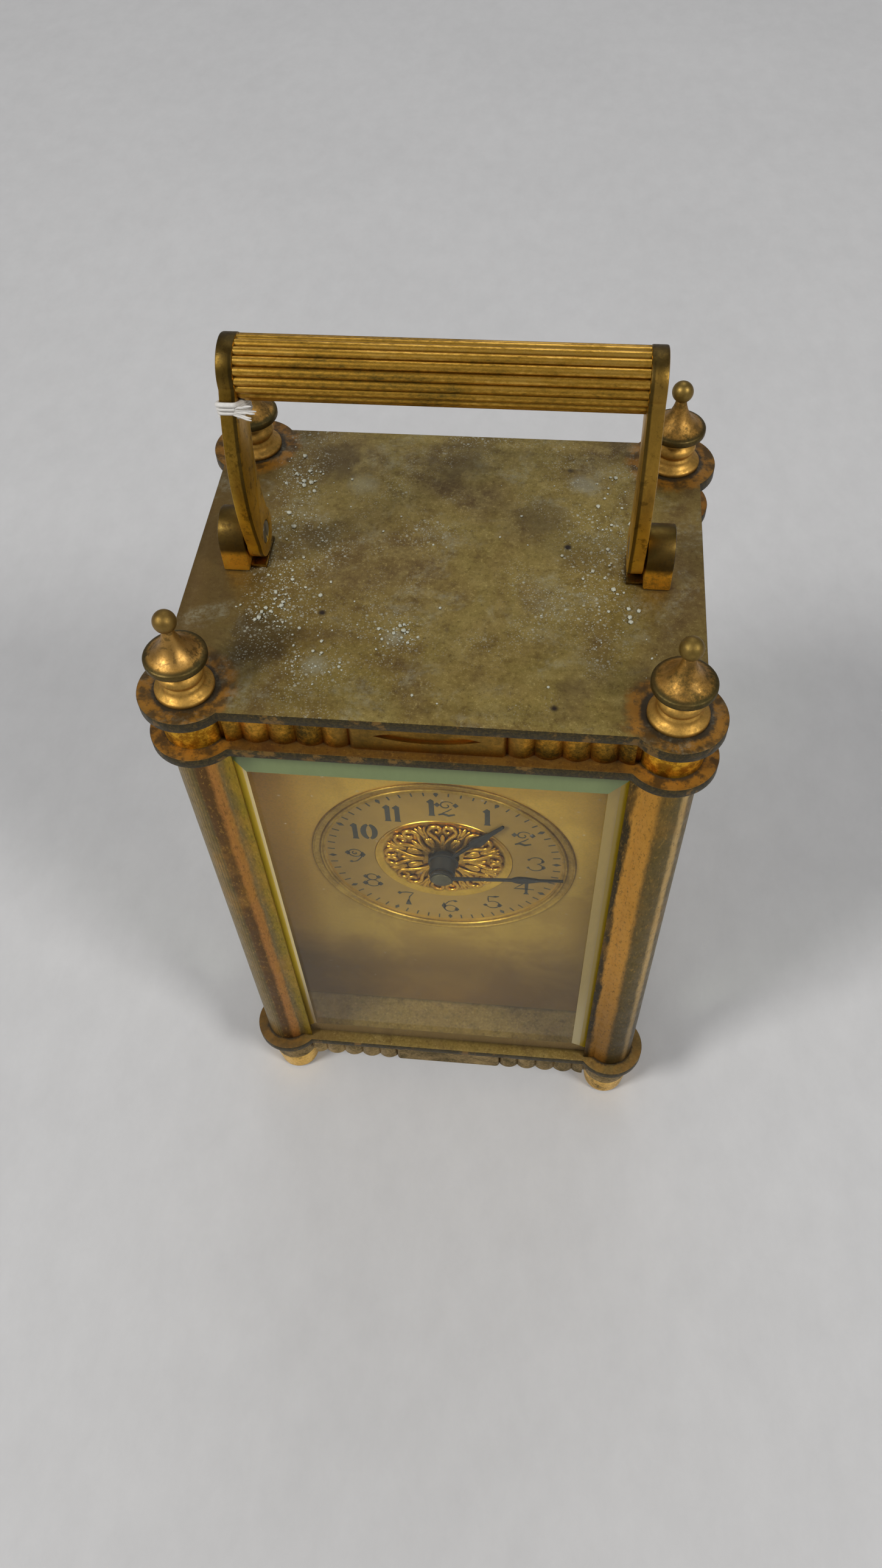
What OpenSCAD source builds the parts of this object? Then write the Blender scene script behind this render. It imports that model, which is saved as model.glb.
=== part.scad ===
// Carriage clock: a glazed brass case on four bun feet, with a folding handle,
// a back door and a spring-driven movement with a lever escapement.
// The dial faces -Y. The origin is on the table, under the middle of the case.

/* [Case] */
// Distance between the left and right column axes
column_span_x = 72; // [70:0.5:76]
// Distance between the front and back column axes
column_span_y = 55.6; // [54:0.2:60]
// Height of the case to the top of the top plate
case_h = 133.9; // [128:0.1:140]
// Height of the base plate's top face
base_top = 18; // [17:0.1:19]
// Thickness of the top plate and of the base plate
plate_t = 2; // [1.6:0.1:2.4]
// Thickness of the rim under the frieze
rim_t = 1.9; // [1.6:0.1:2.2]
// Radius of the ears at the plate corners
ear_r = 7.25; // [7:0.05:7.6]
// How far the straight plate edges lie outside the column axes
edge_out = 4.6; // [4.4:0.1:4.8]
// Radius of the columns
column_r = 4.86; // [4.7:0.02:5]

/* [Frieze and base moulding] */
// Height of the reeded frieze under the top plate
frieze_h = 6.7; // [6:0.1:7.5]
// Height of the reeded moulding under the base plate
skirt_h = 8.6; // [8:0.1:9.5]
// Width of one reed
reed_pitch = 4.13; // [3.9:0.01:4.3]
// How far a reed stands out of its grooves
reed_relief = 0.85; // [0.5:0.05:1]
// How far the reeds lie behind the plate edge
reed_inset = 1.55; // [1.3:0.05:1.8]
// Whole reeds on each side of the front and back panels
front_reeds = 4; // [2:1:4]
// Whole reeds on each side of the side panels
side_reeds = 3; // [2:1:3]
// Thickness of the reeded walls behind the reeds
wall_t = 3.6; // [3:0.1:4]

/* [Glass] */
// Thickness of the glass
glass_t = 2; // [1.8:0.1:2.2]
// Width of the glass bevels
glass_bevel_w = 5.7; // [4:0.1:6]
// Depth of the glass bevels
glass_bevel_d = 1; // [0.6:0.1:1.2]

/* [Handle] */
// Height of the handle pivots above the top plate
pivot_h = 5; // [4.9:0.1:5.5]
// Distance of the handle pivots behind the middle of the case
pivot_y = 0.6; // [0:0.1:1]
// Distance from the handle pivot to the grip axis
arm_len = 27.9; // [27:0.1:28.2]
// Lean of the handle at rest, towards the back
handle_lean = 6; // [0:1:6]
// Forward bow of the handle arms
arm_bow = 3.3; // [3:0.1:3.3]
// Width of the handle arms
arm_w = 7.1; // [6.5:0.1:7.2]
// Thickness of the handle arms
arm_t = 2.4; // [2:0.1:2.5]
// Outer radius of the grip
grip_r = 4.47; // [4.2:0.01:4.5]
// Number of reeds round the grip
grip_reeds = 18; // [14:1:20]

/* [Dial] */
// Height of the dial centre
dial_z = 78.2; // [76:0.1:80]
// Radius of the opening in the dial mask
dial_open_r = 22.2; // [22:0.1:23]
// Radius of the ring round the dial
bezel_r = 24.8; // [24.2:0.1:25]
// Radius of the recess for the embossed dial centre
dial_centre_r = 13; // [12:0.1:14]
// Angle of the hour hand, clockwise from twelve
hour_angle = 40; // [0:0.5:360]
// Angle of the minute hand, clockwise from twelve
minute_angle = 85; // [0:1:360]

/* [Movement] */
// Half the width of the movement plates
movement_half_w = 24; // [23:0.5:26]
// Thickness of the movement plates
movement_t = 1.5; // [1.2:0.1:1.6]
// Clearance round a running pivot
run_gap = 0.05; // [0.03:0.01:0.08]

/* [Hidden] */
$fn = 64;
tiny = 0.01;

// Case levels and planes
cx = column_span_x / 2;
cy = column_span_y / 2;
plate_under = case_h - plate_t;
rim_top = plate_under - frieze_h;
rim_under = rim_top - rim_t;
base_under = base_top - plate_t;
skirt_under = base_under - skirt_h;
edge_x = cx + edge_out;
edge_y = cy + edge_out;
reed_x = edge_x - reed_inset;
reed_y = edge_y - reed_inset;
reed_stop = 7.7;
rod_r = 1.6;
rod_bore = 1.8;
drum_r = 5;
column_seat = 2.8;
leg_reach = 2.75;
groove_in = 0.06;

// Door
door_t = 2.5;
door_gap = 0.4;
door_y = reed_y - 0.25;
hinge_x = 29.6;
hinge_y = door_y - door_t / 2;
stile_w = 4.5;
door_edge_x = 30.8;
door_pin_r = 0.8;

// Handle
pivot_z = case_h + pivot_h;
lug_in = 31;
lug_out = 35.2;
lug_r = 3.9;
arm_out = lug_in - 0.3;
arm_in = arm_out - arm_t;
arm_foot_r = 3.9;
arm_head_r = 4.6;
arm_radius = (pow(arm_len / 2, 2) + pow(arm_bow, 2)) / (2 * arm_bow);
arm_centre = arm_radius - arm_bow;
screw_r = 1.2;
screw_head_r = 1.75;
screw_head_t = 0.8;
spigot_r = 1.6;

// Dial and hands
mask_half_w = 36.4;
mask_front = -19.4;
mask_back = -19;
dial_back = -18.4;
dial_r = 24;
hour_pipe_front = -22.4;
hour_front = -19.85;
hour_back = -19.4;
minute_front = -23.3;
minute_back = -22.9;
hand_nut_t = 0.6;
nut_bore_t = 0.35;
pipe_bore = 0.9;
cannon_r = 1.35;
hour_pipe_r = 2;

// Movement planes
front_face = -14.5;
front_inner = front_face + movement_t;
back_inner = 8;
back_face = back_inner + movement_t;
shake = 0.2;
movement_bottom = 22;
movement_top = 114;
pivot_r = 0.4;
arbor_r = 0.7;
centre_arbor_r = 1.2;
winding_arbor_r = 1.8;
winding_pivot_r = 1.4;
key_y = 24;

// Gear trains: teeth, modules and centres in the front view, as [x, z]
great_teeth = 72;
centre_leaves = 12;
great_module = 0.45;
centre_teeth = 64;
third_leaves = 8;
centre_module = 0.36;
third_teeth = 60;
fourth_leaves = 8;
third_module = 0.32;
fourth_teeth = 64;
escape_leaves = 8;
fourth_module = 0.3;
cannon_leaves = 12;
minute_teeth = 36;
minute_module = 0.35;
minute_leaves = 10;
hour_teeth = 40;
hour_module = minute_module * (cannon_leaves + minute_teeth) / (minute_leaves + hour_teeth);
escape_teeth = 15;
escape_r = 5;
ratchet_teeth = 20;
ratchet_r = 5;

function gear_distance(module_size, teeth_a, teeth_b) = module_size * (teeth_a + teeth_b) / 2;
function direction(a, b) = atan2(b.y - a.y, b.x - a.x);
// The crossing, on the right of the line from a to b, of circles round a and b
function crossing(a, ra, b, rb) =
    let (d = norm(b - a), u = (b - a) / d, k = (d * d + ra * ra - rb * rb) / (2 * d),
         h = sqrt(ra * ra - k * k))
    a + k * u + h * [u.y, -u.x];

centre_at = [0, dial_z];
great_at = centre_at - [0, gear_distance(great_module, great_teeth, centre_leaves)];
escape_at = centre_at + [0, 15.9];
lever_at = escape_at + [0, 5.8];
balance_at = lever_at + [0, 9];
fourth_bearing = -19.4;
fourth_at = escape_at
    + gear_distance(fourth_module, fourth_teeth, escape_leaves)
    * [cos(fourth_bearing), sin(fourth_bearing)];
third_at = crossing(centre_at, gear_distance(centre_module, centre_teeth, third_leaves),
    fourth_at, gear_distance(third_module, third_teeth, fourth_leaves));
minute_bearing = -45;
minute_at = centre_at
    + gear_distance(minute_module, cannon_leaves, minute_teeth)
    * [cos(minute_bearing), sin(minute_bearing)];

// Corner signs, in the order front left, front right, back left, back right
corners = [[-1, -1], [1, -1], [-1, 1], [1, 1]];
pillar_at = [[-20, 27], [20, 27], [-20, 110], [20, 110]];
mask_post_at = [[-20, 50], [20, 50], [-20, 100], [20, 100]];

brass = "#b08a3e";
dark_brass = "#7d6a3c";
gilt = "#c89b4a";
steel = "#8a8d90";
glass = [0.8, 0.88, 0.84, 0.35];

// ---------- helpers ----------

// Extrudes a front-view outline, drawn in x and z, from y0 back to y1
module slab(y0, y1) {
    translate([0, y1, 0]) rotate([90, 0, 0]) linear_extrude(y1 - y0) children();
}

// A round rod along Y at a front-view point
module rod(at, y0, y1, r) {
    slab(y0, y1) translate(at) circle(r);
}

module ring_2d(r_out, r_in) {
    difference() {
        circle(r_out);
        circle(r_in);
    }
}

module at_corners() {
    for (c = corners) translate([c.x * cx, c.y * cy, 0]) children();
}

function arc(centre, r, from, to, steps) =
    [for (i = [0:steps]) let (a = from + (to - from) * i / steps) centre + r * [cos(a), sin(a)]];

// Outline of a gear whose first tooth points along +X
function gear_points(teeth, m, tip, root, share) =
    let (pitch_r = m * teeth / 2, half = 90 / teeth * share * 2)
    [for (i = [0:teeth - 1], s = [[-1, -1.45, root], [-1, -1, 0], [-1, -0.42, tip],
                                  [1, 0.42, tip], [1, 1, 0], [1, 1.45, root]])
        let (a = 360 / teeth * i + s[1] * half, r = pitch_r + s[2] * m)
        r * [cos(a), sin(a)]];

module gear_2d(teeth, m, tip = 0.8, root = -1.15, share = 0.42) {
    polygon(gear_points(teeth, m, tip, root, share));
}

// A crossed-out wheel blank with spokes, to put under a ring of teeth
module crossings_2d(r_out, r_hub, spokes, spoke_w) {
    difference() {
        circle(r_out);
        difference() {
            circle(r_out - 1.6);
            circle(r_hub);
            for (i = [0:spokes - 1])
                rotate(360 / spokes * i + 180 / spokes)
                    translate([0, -spoke_w / 2]) square([r_out, spoke_w]);
        }
    }
}

module wheel_2d(teeth, m, r_hub, spokes, spoke_w) {
    intersection() {
        gear_2d(teeth, m);
        union() {
            crossings_2d(m * teeth / 2 - 1.15 * m, r_hub, spokes, spoke_w);
            ring_2d(m * (teeth / 2 + 2), m * teeth / 2 - 1.15 * m - tiny);
        }
    }
}

// An arbor between the plates with a running pivot at each end
module train_arbor(at) {
    rod(at, front_inner + shake, back_inner - shake, arbor_r);
    rod(at, front_face + shake, back_face - shake, pivot_r);
}

// ---------- case ----------

module eared_outline() {
    square([2 * edge_x, 2 * edge_y], center = true);
    at_corners() circle(ear_r);
}

module rod_holes(r = rod_bore) {
    at_corners() circle(r);
}

module top_plate() {
    color(dark_brass)
    translate([0, 0, plate_under]) linear_extrude(plate_t) difference() {
        eared_outline();
        rod_holes();
    }
}

// Reeds along one wall: their centres run along X, and they stand out towards -Y
module reed_row(stop, reeds, depth) {
    reed_r = (pow(reed_pitch / 2, 2) + pow(reed_relief, 2)) / (2 * reed_relief);
    panel = stop - reeds * reed_pitch;
    translate([-stop, 0]) square([2 * stop, depth]);
    for (side = [-1, 1]) {
        for (i = [0:reeds - 1])
            intersection() {
                translate([side * (panel + (i + 0.5) * reed_pitch), reed_r - reed_relief])
                    circle(reed_r);
                translate([-stop, -reed_relief]) square([2 * stop, reed_relief + tiny]);
            }
        // The part reed beside the corner
        intersection() {
            translate([side * (stop + reed_pitch / 2), reed_r - reed_relief]) circle(reed_r);
            translate([side * (stop + reed_pitch * 0.29) - reed_pitch * 0.29, -reed_relief])
                square([reed_pitch * 0.58, reed_relief + tiny]);
        }
    }
    // The plain panel in the middle, with rounded ends
    intersection() {
        union() {
            translate([-panel + reed_relief, -reed_relief])
                square([2 * (panel - reed_relief), reed_relief + tiny]);
            for (side = [-1, 1]) translate([side * (panel - reed_relief), 0]) circle(reed_relief);
        }
        translate([-panel, -reed_relief]) square([2 * panel, reed_relief + tiny]);
    }
}

module reeded_outline() {
    inner_x = reed_x - reed_relief - wall_t;
    inner_y = reed_y - reed_relief - wall_t;
    difference() {
        union() {
            square([2 * (reed_x - reed_relief), 2 * (reed_y - reed_relief)], center = true);
            for (turn = [0, 180]) rotate(turn)
                translate([0, reed_relief - reed_y])
                    reed_row(cx - reed_stop, front_reeds, wall_t / 2);
            for (turn = [90, 270]) rotate(turn)
                translate([0, reed_relief - reed_x])
                    reed_row(cy - reed_stop, side_reeds, wall_t / 2);
            at_corners() circle(drum_r);
        }
        difference() {
            square([2 * inner_x, 2 * inner_y], center = true);
            at_corners() circle(drum_r);
        }
        rod_holes();
    }
}

// The lens-shaped hollow sunk in the middle of each long frieze panel
module lens_cut(y) {
    lens_len = 16.2;
    lens_h = 2.4;
    lens_r = (pow(lens_len / 2, 2) + pow(lens_h / 2, 2)) / lens_h;
    slab(y - 0.55, y + 0.55) translate([0, rim_top + frieze_h / 2])
        intersection() {
            translate([0, lens_r - lens_h / 2]) circle(lens_r);
            translate([0, lens_h / 2 - lens_r]) circle(lens_r);
        }
}

module upper_frieze() {
    color(gilt)
    difference() {
        translate([0, 0, rim_top]) linear_extrude(frieze_h) reeded_outline();
        lens_cut(-reed_y);
        lens_cut(reed_y);
    }
}

module upper_rim() {
    color(dark_brass)
    difference() {
        translate([0, 0, rim_under]) linear_extrude(rim_t) difference() {
            eared_outline();
            square([60, 48], center = true);
            rod_holes();
        }
        translate([-hinge_x, hinge_y, rim_under - tiny]) cylinder(h = 1.3, r = door_pin_r);
    }
}

module base_plate() {
    color(dark_brass)
    difference() {
        translate([0, 0, base_under]) linear_extrude(plate_t) difference() {
            eared_outline();
            rod_holes();
        }
        translate([-hinge_x, hinge_y, base_top - 1.29]) cylinder(h = 1.3, r = door_pin_r);
    }
}

module base_skirt() {
    color(gilt)
    translate([0, 0, skirt_under]) linear_extrude(skirt_h) reeded_outline();
}

module foot() {
    foot_h = skirt_under;
    difference() {
        rotate_extrude() polygon(concat(
            [[0, 0], [3.1, 0]],
            arc([3.1, 1.35], 1.35, -90, -8, 4),
            [[4.72, 4], [4.93, 6.2], [drum_r, foot_h], [0, foot_h]]));
        translate([0, 0, 2.5]) cylinder(h = foot_h, r = rod_bore);
    }
}

module feet() {
    color(gilt) at_corners() foot();
}

// Long rods that clamp the case between the feet and the finials
module tie_rods() {
    color(steel) at_corners() translate([0, 0, 2.5]) cylinder(h = case_h, r = rod_r);
}

// Two thin legs that reach past a groove's mouth, drawn for a glass standing along X
module groove_legs(inward) {
    leg_t = 0.5;
    for (y = [-glass_t / 2 - run_gap - leg_t, glass_t / 2 + run_gap])
        translate([inward < 0 ? -leg_reach : 0, y]) square([leg_reach, leg_t]);
}

module groove(inward) {
    translate([inward < 0 ? -leg_reach - 1 : -groove_in, -glass_t / 2 - run_gap])
        square([leg_reach + 1 + groove_in, glass_t + 2 * run_gap]);
}

module column(c) {
    front_y = c.y * (reed_y - glass_t / 2);
    side_x = c.x * (reed_x - glass_t / 2);
    color(brass)
    translate([0, 0, base_top]) linear_extrude(rim_under - base_top) difference() {
        union() {
            translate([c.x * cx, c.y * cy]) circle(column_r);
            if (c.y < 0)
                translate([c.x * (cx - column_seat), front_y]) groove_legs(-c.x);
            translate([side_x, c.y * (cy - column_seat)]) rotate(90) groove_legs(-c.y);
        }
        translate([c.x * cx, c.y * cy]) circle(rod_bore);
        if (c.y < 0)
            translate([c.x * (cx - column_seat), front_y]) groove(-c.x);
        translate([side_x, c.y * (cy - column_seat)]) rotate(90) groove(-c.y);
    }
}

module column_front_left() { column(corners[0]); }
module column_front_right() { column(corners[1]); }
module column_back_left() { column(corners[2]); }
module column_back_right() { column(corners[3]); }

module finial(c) {
    disc_r = 4.7;
    neck_r = 0.85;
    ball_r = 1.73;
    ball_z = 13.76;
    neck_z = ball_z - sqrt(ball_r * ball_r - neck_r * neck_r);
    color(gilt)
    translate([c.x * cx, c.y * cy, case_h])
    difference() {
        rotate_extrude() polygon(concat(
            [[0, 0], [4.4, 0], [4.5, 0.45], [4.1, 0.85], [3.5, 1.3], [3.25, 2], [2.95, 2.3]],
            arc([2.75, 3.35], 0.8, -60, 60, 6),
            [[2.55, 4.5], [2.5, 5.2], [2.9, 5.7], [3.8, 6.05]],
            [[4.55, 6.2], [disc_r, 6.45], [disc_r, 7.1], [4.5, 7.35]],
            [[4, 7.45], [3.5, 7.8], [3, 8.4], [2.4, 9.3], [1.8, 10.3], [1.25, 11.3]],
            [[neck_r + 0.05, 12.1], [neck_r, neck_z]],
            arc([0, ball_z], ball_r, asin((neck_z - ball_z) / ball_r), 90, 10)));
        translate([0, 0, -tiny]) cylinder(h = 2.7, r = rod_bore);
    }
}

module finial_front_left() { finial(corners[0]); }
module finial_front_right() { finial(corners[1]); }
module finial_back_left() { finial(corners[2]); }
module finial_back_right() { finial(corners[3]); }

// A sheet of glass, centred on X, standing on z = 0, with its bevelled face towards -Y at y = 0
module bevelled_glass(half_w, h) {
    difference() {
        translate([-half_w, 0, 0]) cube([2 * half_w, glass_t, h]);
        for (side = [-1, 1]) {
            linear_extrude(h + 1)
                polygon([[side * (half_w - glass_bevel_w), -tiny], [side * (half_w + 1), -tiny],
                         [side * (half_w + 1), glass_bevel_d], [side * half_w, glass_bevel_d]]);
        }
        for (end = [0, 1])
            translate([-half_w - 1, 0, end * h]) rotate([90, 0, 90]) mirror([0, end, 0])
                linear_extrude(2 * half_w + 2)
                    polygon([[-tiny, glass_bevel_w], [-tiny, -1], [glass_bevel_d, -1],
                             [glass_bevel_d, 0]]);
    }
}

module front_glass() {
    color(glass) translate([0, -reed_y, base_top])
        bevelled_glass(cx - column_seat, rim_under - base_top);
}

module side_glass(side) {
    color(glass) translate([side * reed_x, 0, base_top]) rotate([0, 0, side * 90])
        bevelled_glass(cy - column_seat, rim_under - base_top);
}

module left_glass() { side_glass(-1); }
module right_glass() { side_glass(1); }

// ---------- back door ----------

door_z0 = base_top + door_gap;
door_h = rim_under - base_top - 2 * door_gap;
door_glass_t = 1.5;
door_groove = 1;

module door_window(grow) {
    x0 = -hinge_x + stile_w - door_t / 2 - grow;
    x1 = door_edge_x - stile_w + grow;
    translate([x0, door_z0 + stile_w - grow])
        square([x1 - x0, door_h - 2 * (stile_w - grow)]);
}

module door_frame() {
    color(brass)
    difference() {
        union() {
            translate([-hinge_x, door_y - door_t, door_z0])
                cube([hinge_x + door_edge_x, door_t, door_h]);
            translate([-hinge_x, hinge_y, door_z0]) cylinder(h = door_h, r = door_t / 2);
        }
        slab(door_y - door_t - 1, door_y + 1) door_window(0);
        slab(hinge_y - door_glass_t / 2, hinge_y + door_glass_t / 2) door_window(door_groove);
        for (z = [door_z0 - tiny, door_z0 + door_h - 2.5])
            translate([-hinge_x, hinge_y, z]) cylinder(h = 2.5 + tiny, r = door_pin_r + run_gap);
        rod([door_edge_x - stile_w / 2, 72], door_y - door_t - 1, door_y + 1, 0.8);
    }
}

module door_glass() {
    color(glass) slab(hinge_y - door_glass_t / 2, hinge_y + door_glass_t / 2)
        door_window(door_groove);
}

module door_knob() {
    color(gilt)
    translate([door_edge_x - stile_w / 2, door_y - door_t, 72]) rotate([-90, 0, 0])
        rotate_extrude() polygon(concat(
            [[0, 0], [0.8, 0], [0.8, door_t], [1.7, door_t], [1.7, door_t + 0.4],
             [0.9, door_t + 0.9], [0.9, door_t + 1.5]],
            arc([0.6, door_t + 2.8], 1.35, -70, 70, 6),
            [[0, door_t + 4.15]]));
}

module door_pins() {
    color(steel)
    translate([-hinge_x, hinge_y, 0]) {
        translate([0, 0, base_top - 1.29]) cylinder(h = 3.5, r = door_pin_r);
        translate([0, 0, rim_under + 1.29 - 3.5]) cylinder(h = 3.5, r = door_pin_r);
    }
}

// ---------- handle ----------

// Puts handle parts, drawn upright with the pivot on the X axis at the origin, in their place
module handle_pose() {
    translate([0, pivot_y, pivot_z]) rotate([-handle_lean, 0, 0]) children();
}

// Extrudes a side-view outline, drawn in y and z, from x0 to x1
module side_slab(x0, x1) {
    translate([x0, 0, 0]) rotate([90, 0, 90]) linear_extrude(x1 - x0) children();
}

module arm_outline() {
    circle(arm_foot_r);
    translate([0, arm_len]) circle(arm_head_r);
    intersection() {
        translate([arm_centre, arm_len / 2])
            ring_2d(arm_radius + arm_w / 2, arm_radius - arm_w / 2);
        polygon([[arm_centre, arm_len / 2], [0, arm_len], [-arm_len, arm_len * 2.05],
                 [-arm_len, -arm_len * 1.05], [0, 0]]);
    }
}

module arm_solid(side) {
    x0 = side < 0 ? -arm_out : arm_in;
    difference() {
        side_slab(x0, x0 + arm_t) arm_outline();
        side_slab(-lug_out, lug_out) circle(screw_r + run_gap);
        side_slab(-arm_in - screw_head_t - 0.15, arm_in + screw_head_t + 0.15)
            circle(screw_head_r + run_gap);
        side_slab(-lug_out, lug_out) translate([0, arm_len]) circle(spigot_r);
    }
}

module handle_arm_left() { color(gilt) handle_pose() arm_solid(-1); }
module handle_arm_right() { color(gilt) handle_pose() arm_solid(1); }

module handle_grip() {
    reed_r = 0.74;
    core_r = grip_r - 0.55;
    color(gilt)
    handle_pose() translate([0, 0, arm_len]) {
        side_slab(-arm_in, arm_in) {
            circle(core_r);
            for (i = [0:grip_reeds - 1])
                rotate(360 / grip_reeds * i) translate([grip_r - reed_r, 0]) circle(reed_r);
        }
        side_slab(-arm_out, arm_out) circle(spigot_r);
    }
}

module lug(side) {
    x0 = side < 0 ? -lug_out : lug_in;
    color(gilt)
    difference() {
        side_slab(x0, x0 + lug_out - lug_in) union() {
            translate([pivot_y, pivot_z]) circle(lug_r);
            translate([pivot_y - lug_r, case_h]) square([2 * lug_r, pivot_h]);
        }
        side_slab(-lug_out + 1, lug_out - 1) translate([pivot_y, pivot_z]) circle(screw_r);
    }
}

module handle_lug_left() { lug(-1); }
module handle_lug_right() { lug(1); }

module handle_screws() {
    slot_w = 0.5;
    color(steel)
    for (side = [0, 1]) mirror([side, 0, 0]) difference() {
        union() {
            side_slab(arm_in + 0.05, lug_out - 1.05)
                translate([pivot_y, pivot_z]) circle(screw_r);
            side_slab(arm_in + 0.05, arm_in + 0.05 + screw_head_t)
                translate([pivot_y, pivot_z]) circle(screw_head_r);
        }
        translate([arm_in - 1, pivot_y - slot_w / 2, pivot_z - 3])
            cube([1.45, slot_w, 6]);
    }
}

// A scrap of cotton thread wound round the left arm, just under the grip
module cotton_tie() {
    tie_h = 1.8;
    thread = 0.45;
    tilt = 16.7;
    corner = 0.7;
    half_x = arm_t / 2 + thread;
    half_y = arm_w / 2 + thread;
    color("white")
    handle_pose() difference() {
        translate([-arm_in - arm_t / 2, arm_centre, arm_len / 2]) rotate([-tilt, 0, 0])
            translate([0, -arm_radius, -tie_h / 2]) linear_extrude(tie_h) union() {
                square([2 * half_x, 2 * (half_y - corner)], center = true);
                square([2 * (half_x - corner), 2 * half_y], center = true);
                for (c = corners)
                    translate([c.x * (half_x - corner), c.y * (half_y - corner)]) circle(corner);
            }
        arm_solid(-1);
    }
}

// ---------- dial and hands ----------

module dial_mask() {
    color(gilt) {
        slab(mask_front, mask_back) difference() {
            translate([-mask_half_w, base_top + 0.1])
                square([2 * mask_half_w, rim_under - base_top - 0.2]);
            translate(centre_at) circle(dial_open_r);
        }
        for (p = mask_post_at) rod(p, mask_back - tiny, front_face, 1.5);
    }
}

// A ring with a narrow bead at its outer edge and a wider one round the opening
module dial_bezel() {
    color(gilt)
    translate([centre_at.x, mask_front, centre_at.y]) rotate([90, 0, 0])
        rotate_extrude() polygon(concat(
            [[dial_open_r, 0], [bezel_r, 0]],
            arc([bezel_r - 0.25, 0.15], 0.25, 0, 180, 4),
            [[bezel_r - 0.6, 0.1], [dial_open_r + 1.35, 0.1]],
            arc([dial_open_r + 0.8, 0.1], 0.35, 0, 180, 7),
            [[dial_open_r, 0.1]]));
}

module dial() {
    color("tan") slab(mask_back, dial_back) translate(centre_at) ring_2d(dial_r, dial_centre_r);
}

// The sunk centre, on the back of the dial ring
module dial_centre() {
    color(gilt) slab(dial_back, dial_back + 0.4) translate(centre_at)
        ring_2d(dial_centre_r + 1, 2.8);
}

// Hands are drawn pointing up, then turned clockwise
module hand_pose(angle) {
    translate(centre_at) rotate(-angle) children();
}

// A swelling on a stem, from its narrow end to its wide end and back
module teardrop(z0, z1, z2, w) {
    polygon([for (s = [-1, 1], i = [0:8])
        let (k = s < 0 ? i / 8 : 1 - i / 8,
             z = z0 + (z2 - z0) * k,
             f = z < z1 ? sin(90 * (z - z0) / (z1 - z0)) : cos(90 * (z - z1) / (z2 - z1)))
        [s * (0.3 + (w / 2 - 0.3) * f), z]]);
}

module hour_hand() {
    color("midnightblue") {
        slab(hour_front, hour_back) hand_pose(hour_angle) difference() {
            union() {
                circle(2.85);
                translate([-0.3, 0]) square([0.6, 10]);
                teardrop(8.1, 9.5, 13.6, 2.4);
                polygon([[-0.5, 12.2], [-0.25, 17.3], [0.25, 17.3], [0.5, 12.2]]);
            }
            circle(hour_pipe_r);
        }
        slab(hour_pipe_front, hour_front) translate(centre_at) ring_2d(2.45, hour_pipe_r);
        slab(hour_back, hour_back + 0.8) translate(centre_at) ring_2d(2.4, hour_pipe_r);
    }
}

module minute_hand() {
    color("midnightblue") {
        slab(minute_front, minute_back) hand_pose(minute_angle) difference() {
            union() {
                circle(2.2);
                polygon([[-0.4, 1.5], [-0.2, 22.5], [0.2, 22.5], [0.4, 1.5]]);
                teardrop(13, 14.4, 18, 1.9);
            }
            circle(cannon_r);
        }
        slab(minute_back, minute_back + 0.3) translate(centre_at) ring_2d(1.9, cannon_r);
    }
}

module hand_nut() {
    color(steel)
    translate([centre_at.x, minute_front, centre_at.y]) rotate([90, 0, 0]) difference() {
        rotate_extrude() polygon([[0, 0], [1.9, 0], [1.9, 0.25], [1.3, hand_nut_t], [0, hand_nut_t]]);
        translate([0, 0, -tiny]) cylinder(h = nut_bore_t + tiny, r = pipe_bore);
    }
}

// ---------- motion work ----------

module hour_wheel() {
    gap = direction(centre_at, minute_at) + 180 / hour_teeth;
    color(brass) difference() {
        union() {
            slab(-17.4, -16.6) translate(centre_at) rotate(gap) gear_2d(hour_teeth, hour_module);
            rod(centre_at, hour_pipe_front, -16.6, hour_pipe_r);
        }
        rod(centre_at, hour_pipe_front - 1, -16, cannon_r + run_gap);
    }
}

module minute_wheel() {
    mesh = direction(minute_at, centre_at);
    color(brass) difference() {
        union() {
            slab(-15.8, -15) translate(minute_at) rotate(mesh + 180 / minute_teeth)
                gear_2d(minute_teeth, minute_module);
            slab(-17.7, -15.8 + tiny) translate(minute_at) rotate(mesh)
                gear_2d(minute_leaves, hour_module);
        }
        rod(minute_at, -18, -14, 0.6 + run_gap);
    }
}

module cannon_pinion() {
    color(steel) difference() {
        union() {
            slab(-16, -14.8) translate(centre_at) rotate(direction(centre_at, minute_at))
                gear_2d(cannon_leaves, minute_module);
            rod(centre_at, minute_front, -14.8, cannon_r);
        }
        rod(centre_at, minute_front - 1, -14, pipe_bore);
    }
}

// The centre arbor runs right through, from the hands to the set knob
module centre_arbor() {
    color(steel) {
        rod(centre_at, minute_front - nut_bore_t, -14.6, pipe_bore);
        rod(centre_at, -14.6, 15.5, centre_arbor_r);
        // The collar that the clutch presses the centre wheel against
        rod(centre_at, -11.6, -10.2, 2.4);
    }
}

module set_knob() {
    knob_y = 11;
    color(gilt)
    translate([centre_at.x, knob_y, centre_at.y]) rotate([-90, 0, 0]) difference() {
        union() {
            cylinder(h = 5, r = 2.4);
            translate([0, 0, 1.5]) linear_extrude(3) {
                circle(4.5);
                for (i = [0:23]) rotate(15 * i) translate([4.5, 0]) circle(0.35);
            }
        }
        translate([0, 0, -tiny]) cylinder(h = 4.5 + tiny, r = centre_arbor_r);
    }
}

// ---------- movement frame ----------

module plate_outline() {
    translate([-movement_half_w, movement_bottom])
        square([2 * movement_half_w, movement_top - movement_bottom]);
}

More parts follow.
